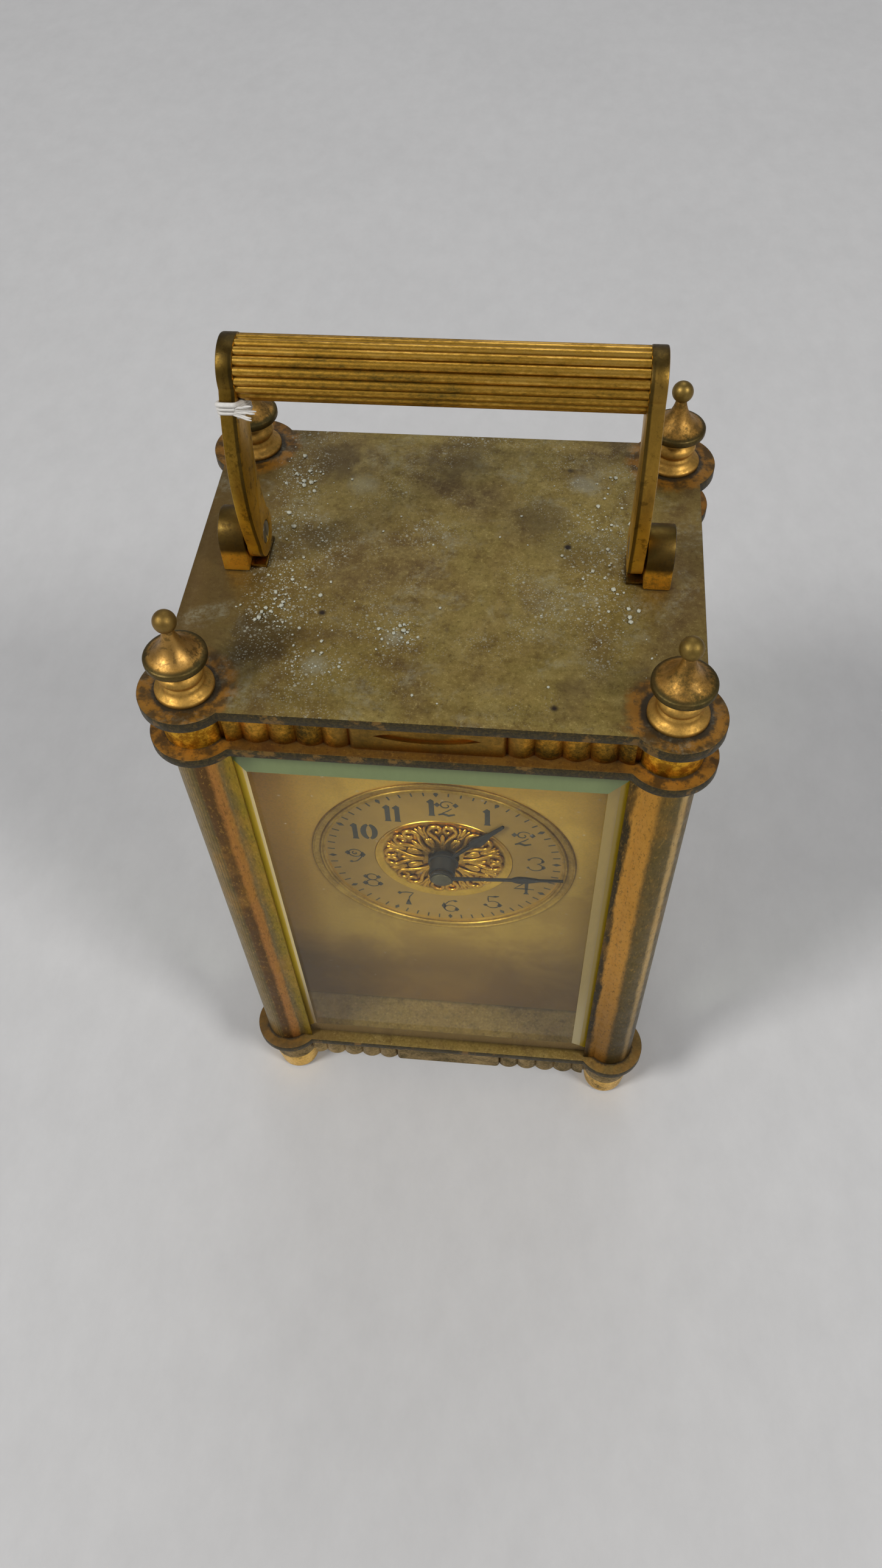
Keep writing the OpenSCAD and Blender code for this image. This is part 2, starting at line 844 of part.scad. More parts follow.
module pivot_holes() {
    for (p = [third_at, fourth_at, escape_at, lever_at])
        translate(p) circle(pivot_r + run_gap);
    translate(great_at) circle(winding_pivot_r + run_gap);
    translate(centre_at) circle(centre_arbor_r + run_gap);
    for (p = pillar_at) translate(p) circle(1.2);
}

module front_movement_plate() {
    color(brass) {
        slab(front_face, front_inner) difference() {
            plate_outline();
            pivot_holes();
            translate(balance_at) circle(pivot_r + run_gap);
            translate(minute_at) circle(0.6);
        }
        // The post that the minute wheel turns on
        rod(minute_at, -17.85, front_inner, 0.6);
    }
}

module back_movement_plate() {
    bank_x = 1.25;
    color(brass) {
        slab(back_inner, back_face) difference() {
            plate_outline();
            pivot_holes();
            translate(balance_at) circle(1.2);
        }
        // Banking pins, which stop the lever
        for (side = [-1, 1])
            rod(lever_at + [side * bank_x, 4], 3.8, back_inner + tiny, 0.35);
    }
}

module pillars() {
    color(brass)
    for (p = pillar_at) {
        rod(p, front_inner, back_inner, 2.2);
        rod(p, front_face - 1.4, back_face + 1.4, 1.15);
        rod(p, front_face - 1.4, front_face, 2.4);
        rod(p, back_face, back_face + 1.4, 2.4);
    }
    // The post that holds the mainspring's outer end
    color(brass) rod(great_at + [spring_r + spring_t + 1.2, 0], front_inner, 3.6, 1.2);
}

module movement_seats() {
    color(brass)
    for (side = [-1, 1])
        translate([side * 18 - 4, front_face, base_top])
            cube([8, back_face - front_face, movement_bottom - base_top]);
}

// ---------- mainspring and winding ----------

spring_r = 14.2;
spring_t = 0.5;
great_y = [5, 6.2];
ratchet_y = [3.8, 4.6];
click_post = great_at + 7.6 * [cos(150), sin(150)];

module winding_arbor() {
    color(steel) {
        rod(great_at, front_face + shake, front_inner + shake, winding_pivot_r);
        rod(great_at, front_inner + shake, back_inner - shake, winding_arbor_r);
        rod(great_at, great_y[1] + shake, great_y[1] + 1, 3.4);
        rod(great_at, back_inner - shake - tiny, 12.8, winding_pivot_r);
        slab(12.8, 19) translate(great_at) square(2 * winding_pivot_r * 0.7, center = true);
    }
}

module ratchet_wheel() {
    color(steel)
    slab(ratchet_y[0], ratchet_y[1]) translate(great_at) rotate(9) difference() {
        polygon([for (i = [0:ratchet_teeth - 1], s = [0, 1])
            let (a = 360 / ratchet_teeth * i) (ratchet_r - s) * [cos(a), sin(a)]]);
        circle(winding_arbor_r);
    }
}

module winding_key() {
    wing_x = 9;
    color(gilt) {
        translate([great_at.x, 0, great_at.y]) difference() {
            translate([0, 13, 0]) rotate([-90, 0, 0]) cylinder(h = 8, r = 2.6);
            translate([-1, 12, -1]) cube([2, 7, 2]);
        }
        // Two pierced wings
        translate([great_at.x, 0, great_at.y])
        for (side = [-1, 1]) difference() {
            translate([side * wing_x / 2, 20, -0.75]) linear_extrude(1.5) union() {
                translate([side * 0.5, 0.4]) circle(3.6);
                translate([-2.2, -1]) square([4.4, 2]);
            }
            translate([side * (wing_x / 2 + 1), 20.4, -2]) cylinder(h = 4, r = 1.7);
        }
    }
}

module spiral(r0, r1, turns, t, steps) {
    last = turns * steps;
    polygon(concat(
        [for (i = [0:last]) let (r = r0 + (r1 - r0) * i / last, a = 360 * i / steps)
            r * [cos(a), sin(a)]],
        [for (i = [last:-1:0]) let (r = r0 + (r1 - r0) * i / last + t, a = 360 * i / steps)
            r * [cos(a), sin(a)]]));
}

module mainspring() {
    color(steel) slab(-3.4, 3.4) translate(great_at) spiral(2.2, spring_r, 9, spring_t, 20);
}

module great_wheel() {
    mesh = direction(great_at, centre_at);
    color(brass) {
        slab(great_y[0], great_y[1]) translate(great_at) difference() {
            rotate(mesh) wheel_2d(great_teeth, great_module, 9.3, 5, 2.4);
            circle(winding_arbor_r + run_gap);
        }
        // The post that the click turns on
        rod(click_post, ratchet_y[0] - 0.1, great_y[0] + tiny, 0.6);
    }
}

// The click is drawn as a ratchet tooth lifts it
module click() {
    nose = great_at + (ratchet_r + 0.1) * [cos(100), sin(100)];
    reach = norm(nose - click_post);
    color(steel)
    slab(ratchet_y[0], ratchet_y[1]) translate(click_post)
        rotate(direction(click_post, nose)) difference() {
            union() {
                circle(1.3);
                polygon([[0, -1.1], [2.5, -0.3], [reach - 1.5, 0.75], [reach - 0.8, 0.85],
                         [reach, 0], [reach + 0.1, 1.2], [reach - 0.3, 2], [0, 1.2]]);
            }
            circle(0.6 + run_gap);
        }
}

// ---------- going train ----------

module centre_wheel() {
    color(brass) difference() {
        union() {
            slab(-9.5, -8.5) translate(centre_at) rotate(direction(centre_at, third_at))
                wheel_2d(centre_teeth, centre_module, 3.4, 4, 1.8);
            rod(centre_at, -10, 7.6, 1.9);
            slab(4.4, 6.8) translate(centre_at)
                rotate(direction(centre_at, great_at) + 180 / centre_leaves)
                    gear_2d(centre_leaves, great_module);
        }
        rod(centre_at, -11, 8, centre_arbor_r + run_gap);
    }
}

module third_wheel() {
    color(brass) {
        slab(-6.5, -5.6) translate(third_at) rotate(direction(third_at, fourth_at))
            wheel_2d(third_teeth, third_module, 2.4, 4, 1.6);
        slab(-10.4, -7.6) translate(third_at)
            rotate(direction(third_at, centre_at) + 180 / third_leaves)
                gear_2d(third_leaves, centre_module);
        train_arbor(third_at);
    }
}

module fourth_wheel() {
    color(brass) {
        slab(1, 1.8) translate(fourth_at) rotate(direction(fourth_at, escape_at))
            wheel_2d(fourth_teeth, fourth_module, 2.2, 4, 1.5);
        slab(-7.4, -4.7) translate(fourth_at)
            rotate(direction(fourth_at, third_at) + 180 / fourth_leaves)
                gear_2d(fourth_leaves, third_module);
        train_arbor(fourth_at);
    }
}

lever_y = [4.4, 5.2];

module escape_wheel() {
    tooth_lean = 5;
    tip_half = 2.2;
    root_r = escape_r - 1.5;
    color(brass) {
        slab(lever_y[0], lever_y[1]) translate(escape_at) rotate(6)
            difference() {
                polygon([for (i = [0:escape_teeth - 1],
                              s = [[-5, root_r], [tip_half * -1, escape_r],
                                   [tip_half, escape_r], [tooth_lean + 6, root_r]])
                    let (a = 360 / escape_teeth * i + s[0]) s[1] * [cos(a), sin(a)]]);
                difference() {
                    circle(root_r - 0.9);
                    circle(1.3);
                    for (i = [0:3]) rotate(90 * i) translate([0, -0.35]) square([root_r, 0.7]);
                }
            }
        slab(0, 2.8) translate(escape_at)
            rotate(direction(escape_at, fourth_at) + 180 / escape_leaves)
                gear_2d(escape_leaves, fourth_module);
        train_arbor(escape_at);
    }
}

// ---------- escapement ----------

roller_pin_r = 1.7;
fork_tip = balance_at.y - lever_at.y - 1.8;

module pallet_lever() {
    pallet_clear = 0.06;
    pallet_w = 0.5;
    color(steel) {
        slab(lever_y[0], lever_y[1]) translate(lever_at) difference() {
            union() {
                circle(0.74);
                translate([-0.45, 0]) square([0.9, fork_tip - 1]);
                translate([-0.8, fork_tip - 2.2]) square([1.6, 2.2]);
                // The anchor arms and their pallets, square to the escape wheel's rim
                for (side = [-1, 1])
                    translate(escape_at - lever_at) rotate(-side * 30) {
                        translate([-pallet_w / 2, escape_r + pallet_clear])
                            square([pallet_w, 1.6]);
                        translate([side < 0 ? 0 : -2.9, escape_r + pallet_clear + 0.7])
                            square([2.9, 0.9]);
                    }
            }
            translate([-0.4, fork_tip - 1.2]) square([0.8, 2]);
        }
        train_arbor(lever_at);
    }
}

// The balance is drawn half a turn from the fork, at the far end of its swing
module balance_wheel() {
    balance_r = 8.6;
    color(gilt) {
        slab(11.5, 12.7) translate(balance_at) {
            ring_2d(balance_r, balance_r - 1.2);
            circle(1.6);
            for (turn = [0, 180])
                rotate(turn) translate([0, -0.5]) square([balance_r - 0.6, 1]);
        }
        slab(5.6, 6.2) translate(balance_at) circle(2.3);
        rod(balance_at + [0, roller_pin_r], 4.3, 5.6 + tiny, 0.3);
        rod(balance_at, front_inner + shake, 15.7, 0.7);
        rod(balance_at, front_face + shake, 17.2, pivot_r);
    }
}

module hairspring() {
    color(steel) slab(13.7, 14.3) translate(balance_at) {
        spiral(1.2, 4.9, 6, 0.2, 20);
        ring_2d(1.35, 0.7);
    }
}

module balance_cock() {
    cock_z = balance_at.y;
    color(brass) {
        difference() {
            slab(16, 17.4) union() {
                translate(balance_at) circle(3.4);
                translate([0, cock_z - 2.4]) square([16.5, 4.8]);
            }
            rod(balance_at, 15, 18, pivot_r + run_gap);
        }
        slab(back_face, 16 + tiny) translate([11, cock_z - 3.4]) square([5.5, 6.8]);
        // The stud that holds the hairspring's outer end
        rod(balance_at + [5.9, 0], 13.5, 16 + tiny, 0.5);
        // The boss that the regulator turns on
        slab(17.4 - tiny, 18.6) translate(balance_at) ring_2d(1.6, pivot_r + run_gap);
    }
}

module regulator() {
    color(steel)
    slab(17.6, 18.3) translate(balance_at) difference() {
        union() {
            circle(2.8);
            polygon([[-0.9, 2], [-0.35, 8], [0.35, 8], [0.9, 2]]);
            translate([-0.5, -5]) square([1, 3.5]);
        }
        circle(1.6 + run_gap);
    }
}

top_plate();
upper_frieze();
upper_rim();
column_front_left();
column_front_right();
column_back_left();
column_back_right();
base_plate();
base_skirt();
feet();
tie_rods();
finial_front_left();
finial_front_right();
finial_back_left();
finial_back_right();
front_glass();
left_glass();
right_glass();
door_frame();
door_glass();
door_knob();
door_pins();
handle_grip();
handle_arm_left();
handle_arm_right();
handle_lug_left();
handle_lug_right();
handle_screws();
cotton_tie();
dial_mask();
dial_bezel();
dial();
dial_centre();
minute_hand();
hand_nut();
hour_hand();
hour_wheel();
minute_wheel();
centre_arbor();
cannon_pinion();
set_knob();
front_movement_plate();
back_movement_plate();
pillars();
movement_seats();
winding_arbor();
ratchet_wheel();
winding_key();
mainspring();
great_wheel();
click();
centre_wheel();
third_wheel();
fourth_wheel();
escape_wheel();
pallet_lever();
balance_wheel();
hairspring();
balance_cock();
regulator();
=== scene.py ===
"""Looks for a glazed brass carriage clock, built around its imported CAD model."""
import math
import random

import bmesh
import bpy
from mathutils import Matrix, Vector


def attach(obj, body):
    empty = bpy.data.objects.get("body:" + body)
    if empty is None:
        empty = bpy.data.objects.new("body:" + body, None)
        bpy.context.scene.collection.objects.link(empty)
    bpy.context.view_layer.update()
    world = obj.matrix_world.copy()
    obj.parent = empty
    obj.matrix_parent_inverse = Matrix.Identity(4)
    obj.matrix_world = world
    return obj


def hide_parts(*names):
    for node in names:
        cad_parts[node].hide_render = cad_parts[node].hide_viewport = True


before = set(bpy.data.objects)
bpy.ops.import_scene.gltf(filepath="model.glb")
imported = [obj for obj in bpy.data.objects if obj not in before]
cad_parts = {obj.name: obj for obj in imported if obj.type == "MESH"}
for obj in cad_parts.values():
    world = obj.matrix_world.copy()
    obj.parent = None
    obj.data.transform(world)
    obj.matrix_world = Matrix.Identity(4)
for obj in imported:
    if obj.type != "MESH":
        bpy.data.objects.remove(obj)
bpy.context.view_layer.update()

MM = 0.001
CORNERS = {"front_left": (-1, -1), "front_right": (1, -1),
           "back_left": (-1, 1), "back_right": (1, 1)}

# Places that the CAD model settles, in millimetres
COLUMN_X, COLUMN_Y = 36.0, 27.8
PLATE_TOP = 133.9
DIAL_Z, DIAL_Y, DIAL_TURN = 78.2, -19.0, -2.1
GLASS_Y, GLASS_HALF_W, GLASS_T = -30.85, 33.2, 2.0
GLASS_Z0, GLASS_Z1 = 18.0, 123.3
BEVEL_W, BEVEL_LEFT_W, BEVEL_D = 5.7, 4.3, 1.0
PIVOT_Y, PIVOT_Z, HANDLE_LEAN = 0.6, 138.9, 6.0


# ---------------------------------------------------------------- camera and lights

def add_object(name, data):
    obj = bpy.data.objects.new(name, data)
    bpy.context.scene.collection.objects.link(obj)
    return obj


def make_camera():
    eye = Vector((16.728, -135.905, 264.33)) * MM
    target = Vector((0.484, -21.66, 104.63)) * MM
    roll = -0.053
    forward = (target - eye).normalized()
    right = forward.cross(Vector((0, 0, 1))).normalized()
    up = right.cross(forward)
    turned_right = right * math.cos(roll) + up * math.sin(roll)
    turned_up = up * math.cos(roll) - right * math.sin(roll)
    data = bpy.data.cameras.new("camera")
    data.sensor_width = 36.0
    data.lens = 26.868
    data.clip_start, data.clip_end = 0.01, 20.0
    camera = add_object("camera", data)
    axes = Matrix((turned_right, turned_up, -forward)).transposed()
    camera.matrix_world = Matrix.Translation(eye) @ axes.to_4x4()
    bpy.context.scene.camera = camera


def area_light(name, place, aim, size, power, colour=(1, 1, 1)):
    data = bpy.data.lights.new(name, "AREA")
    data.shape = "DISK"
    data.size = size
    data.energy = power
    data.color = colour
    light = add_object(name, data)
    light.location = place
    light.rotation_euler = (Vector(aim) - Vector(place)).to_track_quat("-Z", "Y").to_euler()


def make_lights():
    area_light("lamp_left", (-1.22, -0.88, 1.45), (0, 0, 0.06), 0.52, 21.0, (1.0, 0.985, 0.96))
    area_light("lamp_right", (1.26, -0.81, 1.45), (0, 0, 0.06), 0.52, 15.5, (1.0, 0.985, 0.96))
    area_light("lamp_back", (0.0, 0.9, 1.3), (0, 0, 0.1), 0.9, 3.2, (0.98, 0.99, 1.0))
    world = bpy.data.worlds.new("studio")
    bpy.context.scene.world = world
    world.use_nodes = True
    nodes, links = world.node_tree.nodes, world.node_tree.links
    place = nodes.new("ShaderNodeTexCoord")
    axes = nodes.new("ShaderNodeSeparateXYZ")
    ramp = nodes.new("ShaderNodeValToRGB")
    low, high = ramp.color_ramp.elements
    low.position, low.color = 0.0, (0.5, 0.5, 0.51, 1)
    high.position, high.color = 0.55, (0.3, 0.3, 0.31, 1)
    links.new(place.outputs["Generated"], axes.inputs[0])
    links.new(axes.outputs["Z"], ramp.inputs[0])
    links.new(ramp.outputs[0], nodes["Background"].inputs[0])
    nodes["Background"].inputs[1].default_value = 0.56


# ---------------------------------------------------------------- materials

class Material:
    """A Principled material with short ways to add texture nodes in object space."""

    def __init__(self, name):
        self.data = bpy.data.materials.new(name)
        self.data.use_nodes = True
        self.tree = self.data.node_tree
        self.shader = self.tree.nodes["Principled BSDF"]
        self.place = self.node("ShaderNodeTexCoord").outputs["Object"]

    def link(self, value, socket):
        if hasattr(value, "is_output"):
            self.tree.links.new(value, socket)
        elif isinstance(value, (tuple, list)) and len(value) == 3 and socket.type == "RGBA":
            socket.default_value = (*value, 1)
        else:
            socket.default_value = value

    def fill(self, node, **inputs):
        """Sets or links a node's inputs by their names, with _ for a space."""
        for name, value in inputs.items():
            self.link(value, node.inputs[name.replace("_", " ")])
        return node

    def node(self, kind, **inputs):
        return self.fill(self.tree.nodes.new(kind), **inputs)

    def plug(self, node, *values):
        """Fills a node's inputs in their order, and gives back its first output."""
        for value, socket in zip(values, node.inputs):
            self.link(value, socket)
        return node.outputs[0]

    def set(self, **inputs):
        self.fill(self.shader, **inputs)
        return self

    def moved(self, offset=(0, 0, 0), stretch=(1, 1, 1)):
        return self.node("ShaderNodeMapping", Vector=self.place, Location=offset,
                         Scale=stretch).outputs[0]

    def noise(self, size_mm, detail=4, rough=0.6, offset=(0, 0, 0), stretch=(1, 1, 1), warp=0):
        return self.node("ShaderNodeTexNoise", Vector=self.moved(offset, stretch),
                         Scale=1 / (size_mm * MM), Detail=detail, Roughness=rough,
                         Distortion=warp).outputs[0]

    def specks(self, size_mm, limit, offset=(0, 0, 0)):
        """Scattered spots: 1 at a spot's middle and 0 outside it."""
        cells = self.node("ShaderNodeTexVoronoi", Vector=self.moved(offset), Scale=1 / (size_mm * MM))
        return self.ramp(cells.outputs["Distance"], [(limit * 0.4, 1), (limit, 0)])

    def ramp(self, value, stops):
        ramp = self.node("ShaderNodeValToRGB")
        elements = ramp.color_ramp.elements
        while len(elements) < len(stops):
            elements.new(0.5)
        for element, (position, colour) in zip(elements, stops):
            element.position = position
            grey = isinstance(colour, (int, float))
            element.color = (*((colour,) * 3 if grey else colour), 1)
        self.link(value, ramp.inputs[0])
        return ramp.outputs[0]

    def mix(self, share, first, second, way="MIX"):
        mix = self.node("ShaderNodeMix")
        mix.data_type = "RGBA"
        mix.blend_type = way
        return self.fill(mix, Factor=share, A=first, B=second).outputs["Result"]

    def lay(self, under, over, *shares):
        """One colour laid over another, as strongly as the product of the shares."""
        return self.mix(self.times(*shares), under, over)

    def tint(self, colour, factor):
        """The colour with each of its channels multiplied."""
        return self.mix(1.0, colour, factor, "MULTIPLY")

    def maths(self, operation, *values, clamp=False):
        maths = self.node("ShaderNodeMath")
        maths.operation = operation
        maths.use_clamp = clamp
        return self.plug(maths, *values)

    def times(self, first, *others):
        for other in others:
            first = self.maths("MULTIPLY", first, other)
        return first

    def plus(self, first, *others):
        for other in others:
            first = self.maths("ADD", first, other)
        return first

    def less(self, value, taken):
        return self.maths("SUBTRACT", value, taken)

    def size(self, value):
        return self.maths("ABSOLUTE", value)

    def around(self, value, amount):
        """A noise value, made to swing about zero."""
        return self.times(self.less(value, 0.5), amount)

    def squared(self, value):
        return self.maths("POWER", value, 2.0)

    def distance(self, first, first_mm, second, second_mm):
        """How far a place is from a point, by two of its measures."""
        return self.maths("SQRT", self.plus(self.squared(self.less(first, first_mm * MM)),
                                            self.squared(self.less(second, second_mm * MM))))

    def band(self, value, low, high):
        """0 below low, 1 above high, and smooth between; high may be the lower one."""
        flip = low > high
        ranged = self.node("ShaderNodeMapRange", Value=value, From_Min=min(low, high),
                           From_Max=max(low, high), To_Min=float(flip), To_Max=float(not flip))
        ranged.interpolation_type = "SMOOTHSTEP"
        return ranged.outputs["Result"]

    def span(self, value, low_mm, high_mm):
        return self.band(value, low_mm * MM, high_mm * MM)

    def axis(self, letter, source=None):
        split = self.node("ShaderNodeSeparateXYZ", Vector=self.place if source is None else source)
        return split.outputs[letter.upper()]

    def normal_axis(self, letter):
        return self.axis(letter, self.node("ShaderNodeNewGeometry").outputs["Normal"])

    def hollows(self, reach_mm):
        """1 in the open, falling to 0 deep in a crevice."""
        shade = self.node("ShaderNodeAmbientOcclusion", Distance=reach_mm * MM)
        shade.samples = 6
        return shade.outputs["AO"]

    def bump(self, height, strength=0.3, depth_mm=0.1):
        bump = self.node("ShaderNodeBump", Strength=strength, Distance=depth_mm * MM, Height=height)
        self.set(Normal=bump.outputs[0])
        return self

    def overlay(self, colour, *shares):
        """Lays a colour over the base colour that the shader already has."""
        base = self.shader.inputs["Base Color"]
        self.link(self.lay(base.links[0].from_socket, colour, *shares), base)


def aged_metal(name, bright, middle, dark, worn=0.5, rough=(0.28, 0.55), reach=2.5, grain=0.6,
               offset=(0, 0, 0), hollow=(0.055, 0.022, 0.004), grime_and_shade=0.85, stretch=(1, 1, 1)):
    """Gilt or brass that is brightest on its open faces and dull in patches, its crevices darkened
    partly by grime and partly by painted shade.
    worn is the share that has gone dull, and grime_and_shade how much of each crevice is filled with
    the hollow colour."""
    m = Material(name)
    patches = m.noise(8, 4, 0.6, offset, stretch, warp=0.4)
    grains = m.noise(grain, 5, 0.75, offset, stretch)
    flecks = m.noise(grain * 0.45, 3, 0.8, (offset[1], offset[2] + 0.01, offset[0]))
    mixed = m.plus(m.times(patches, 0.55), m.times(grains, 0.45))
    middle_at = 0.5 + 0.16 * (worn - 0.5)
    colour = m.ramp(mixed, [(middle_at - 0.11, dark), (middle_at, middle),
                            (middle_at + 0.09, bright)])
    colour = m.lay(colour, dark, m.band(flecks, 0.6, 0.7), 0.6)
    # Grime and painted shade: crevices found by ambient occlusion take the hollow colour.
    open_share = m.band(m.hollows(reach), 0.25, 0.8)
    colour = m.lay(colour, m.mix(grains, hollow, dark), m.less(1.0, open_share), grime_and_shade)
    roughness = m.ramp(mixed, [(middle_at - 0.1, rough[1]), (middle_at + 0.1, rough[0])])
    m.set(Base_Color=colour, Metallic=1.0, Roughness=roughness)
    return m.bump(m.plus(grains, m.times(flecks, 0.6)), 0.35, 0.05)


def frieze_material():
    """Dark reeds with coppery hollows, amber drums over the columns and a copper middle."""
    m = aged_metal("frieze_gilt", (0.64, 0.31, 0.034), (0.33, 0.172, 0.018), (0.075, 0.05, 0.01),
                   worn=0.68, rough=(0.32, 0.5), reach=1.6, hollow=(0.4, 0.085, 0.006), grime_and_shade=0.8)
    from_x, from_y = m.size(m.axis("x")), m.size(m.axis("y"))
    amber = m.mix(m.band(m.noise(1.5, 5, 0.75), 0.4, 0.62), (0.42, 0.185, 0.012), (1.0, 0.6, 0.048))
    m.overlay(amber, m.span(from_x, 31.2, 32.2), m.span(from_y, 22.6, 23.6), 0.85)
    olive = m.mix(m.noise(1.5, 4, 0.7), (0.13, 0.08, 0.016), (0.3, 0.175, 0.04))
    tablet = m.mix(m.band(m.hollows(0.9), 0.35, 0.75), (0.36, 0.15, 0.026), olive)
    m.overlay(tablet, m.span(from_x, 15, 13), 0.65)
    return m


def handle_material():
    """The arms: soot round their heads, sides painted brighter as a sheen, dull fronts with a dark
    line along the inner edge, and warm gold low down."""
    m = aged_metal("handle_gilt", (0.54, 0.31, 0.045), (0.37, 0.21, 0.026), (0.105, 0.068, 0.013),
                   worn=0.55, rough=(0.34, 0.5), reach=0.9, grain=0.5, hollow=(0.03, 0.02, 0.006),
                   grime_and_shade=1.0, stretch=(1, 1, 0.5))
    x, z = m.axis("x"), m.axis("z")
    front = m.band(m.normal_axis("y"), -0.5, -0.85)
    m.overlay(m.mix(m.noise(0.6, 4, 0.7), (0.035, 0.024, 0.009), (0.105, 0.072, 0.024)),
              m.span(z, 163, 168), 0.85)
    m.overlay((0.125, 0.073, 0.01), front, 0.5)
    # Painted sheen: faces turned sideways are laid over with brighter gold.
    m.overlay((0.62, 0.34, 0.02), m.band(m.size(m.normal_axis("x")), 0.6, 0.9), 0.55)
    m.overlay(m.mix(m.noise(1.4, 4, 0.7), (0.5, 0.25, 0.022), (1.0, 0.62, 0.06)),
              m.span(z, 153, 145), 0.88)
    m.overlay((0.66, 0.38, 0.075), m.span(x, 0, 10), front, 0.3)
    m.overlay((0.06, 0.034, 0.008), m.band(m.noise(1.7, 5, 0.75, (0.02, 0.03, 0.01)), 0.54, 0.62), 0.5)
    m.overlay((0.045, 0.03, 0.009), m.span(m.size(x), 29.0, 28.75),
              m.band(m.normal_axis("y"), -0.3, -0.7), 0.8)
    return m


def lug_material():
    m = aged_metal("lug_gilt", (1.0, 0.64, 0.09), (1.0, 0.54, 0.06), (0.46, 0.25, 0.036),
                   worn=0.4, rough=(0.4, 0.6), reach=0.8, offset=(0, 0, 0.04), grime_and_shade=0.5)
    m.overlay(m.mix(m.noise(0.7, 4, 0.7), (0.028, 0.021, 0.009), (0.074, 0.053, 0.021)),
              m.span(m.axis("z"), 136.9, 138.3), 0.92)
    return m


def centre_floor_material():
    """The floor of the embossed centre, with a bright ring round it."""
    m = aged_metal("centre_low_gilt", (0.7, 0.42, 0.06), (0.47, 0.27, 0.038), (0.2, 0.115, 0.018),
                   worn=0.45, reach=0.5, hollow=(0.035, 0.02, 0.005))
    from_hub = m.distance(m.axis("x"), 0, m.axis("z"), DIAL_Z)
    m.overlay(m.mix(m.noise(2, 4, 0.6), (0.62, 0.39, 0.06), (1.0, 0.66, 0.12)),
              m.span(from_hub, 11.2, 11.8), 0.8)
    return m


def finial_material(name, number):
    """Stained gilt with a dark ball and rim. The front right finial is the cleaner of the two."""
    m = aged_metal("finial_gilt_" + name, (0.66, 0.375, 0.1), (0.45, 0.245, 0.055),
                   (0.1, 0.07, 0.02), worn=0.66 - 0.16 * (number % 2), rough=(0.4, 0.62),
                   reach=1.5, grain=0.75, offset=(0.013 * number, 0.02 * number, 0),
                   hollow=(0.05, 0.032, 0.009), grime_and_shade=0.42)

    def level(low, high):
        return m.span(m.axis("z"), PLATE_TOP + low, PLATE_TOP + high)

    stains = m.noise(2.6, 5, 0.75, (0.017 * number, 0.011, 0.004), warp=0.6)
    m.overlay(m.mix(m.noise(0.5, 4, 0.8), (0.06, 0.04, 0.014), (0.145, 0.095, 0.034)),
              m.band(stains, 0.52, 0.6), 0.8 - 0.3 * (number % 2))
    m.overlay(m.mix(m.noise(0.6, 4, 0.7), (0.095, 0.074, 0.02), (0.33, 0.24, 0.062)),
              level(12.0, 12.6), 0.85)
    m.overlay(m.mix(m.noise(0.45, 4, 0.8), (0.044, 0.037, 0.014), (0.11, 0.088, 0.034)),
              level(5.7, 6.2), level(7.62, 7.36), 0.88)
    # Painted light: the neck is brightened where the rim's shadow falls on it.
    m.overlay(m.mix(m.noise(0.8, 4, 0.7), (0.38, 0.22, 0.045), (0.95, 0.56, 0.13)),
              level(5.6, 4.8), 0.5)
    m.overlay((0.27, 0.155, 0.045), level(7.6, 8.0), 0.5 - 0.25 * (number % 2))
    return m


PALE_STAIN = (0.36, 0.35, 0.25)
# Stains on the top plate: x, y and radius in millimetres, strength, and colour
STAINS = [
    (-27.0, -19.0, 7.5, 0.72, (0.06, 0.036, 0.01)),
    (-20.0, 24.0, 6.5, 0.6, (0.075, 0.045, 0.014)),
    (-21.0, 5.2, 5.0, 0.5, (0.085, 0.054, 0.018)),
    (1.0, 26.8, 8.5, 0.55, (0.08, 0.048, 0.015)),
    (14.0, 13.0, 5.5, 0.5, (0.085, 0.054, 0.018)),
    (21.5, -24.0, 4.5, 0.5, (0.085, 0.052, 0.016)),
    (-6.2, -15.6, 2.6, 0.45, PALE_STAIN), (-17.8, -22.4, 2.4, 0.45, PALE_STAIN),
    (-16.1, 18.6, 3.6, 0.4, (0.33, 0.31, 0.2)), (22.0, 21.0, 3.6, 0.45, PALE_STAIN)]

# Heaps of grit on the top plate: x, y and the spread along each. No spread means all over.
GRIT_HEAPS = [
    (-25.0, -6.0, 1.8, 3.0), (-26.0, -11.5, 2.4, 2.0), (-24.0, 10.0, 2.6, 6.0),
    (-26.5, 20.0, 2.0, 2.0), (-17.8, -22.5, 2.2, 1.8), (-6.1, -15.6, 1.7, 1.2),
    (-20.0, -14.0, 4.5, 4.0), (26.0, -7.0, 2.4, 4.5), (26.0, 13.0, 2.2, 6.0),
    (0, 0, 0, 0)]

GILT_MIDDLE = (0.5, 0.26, 0.04)


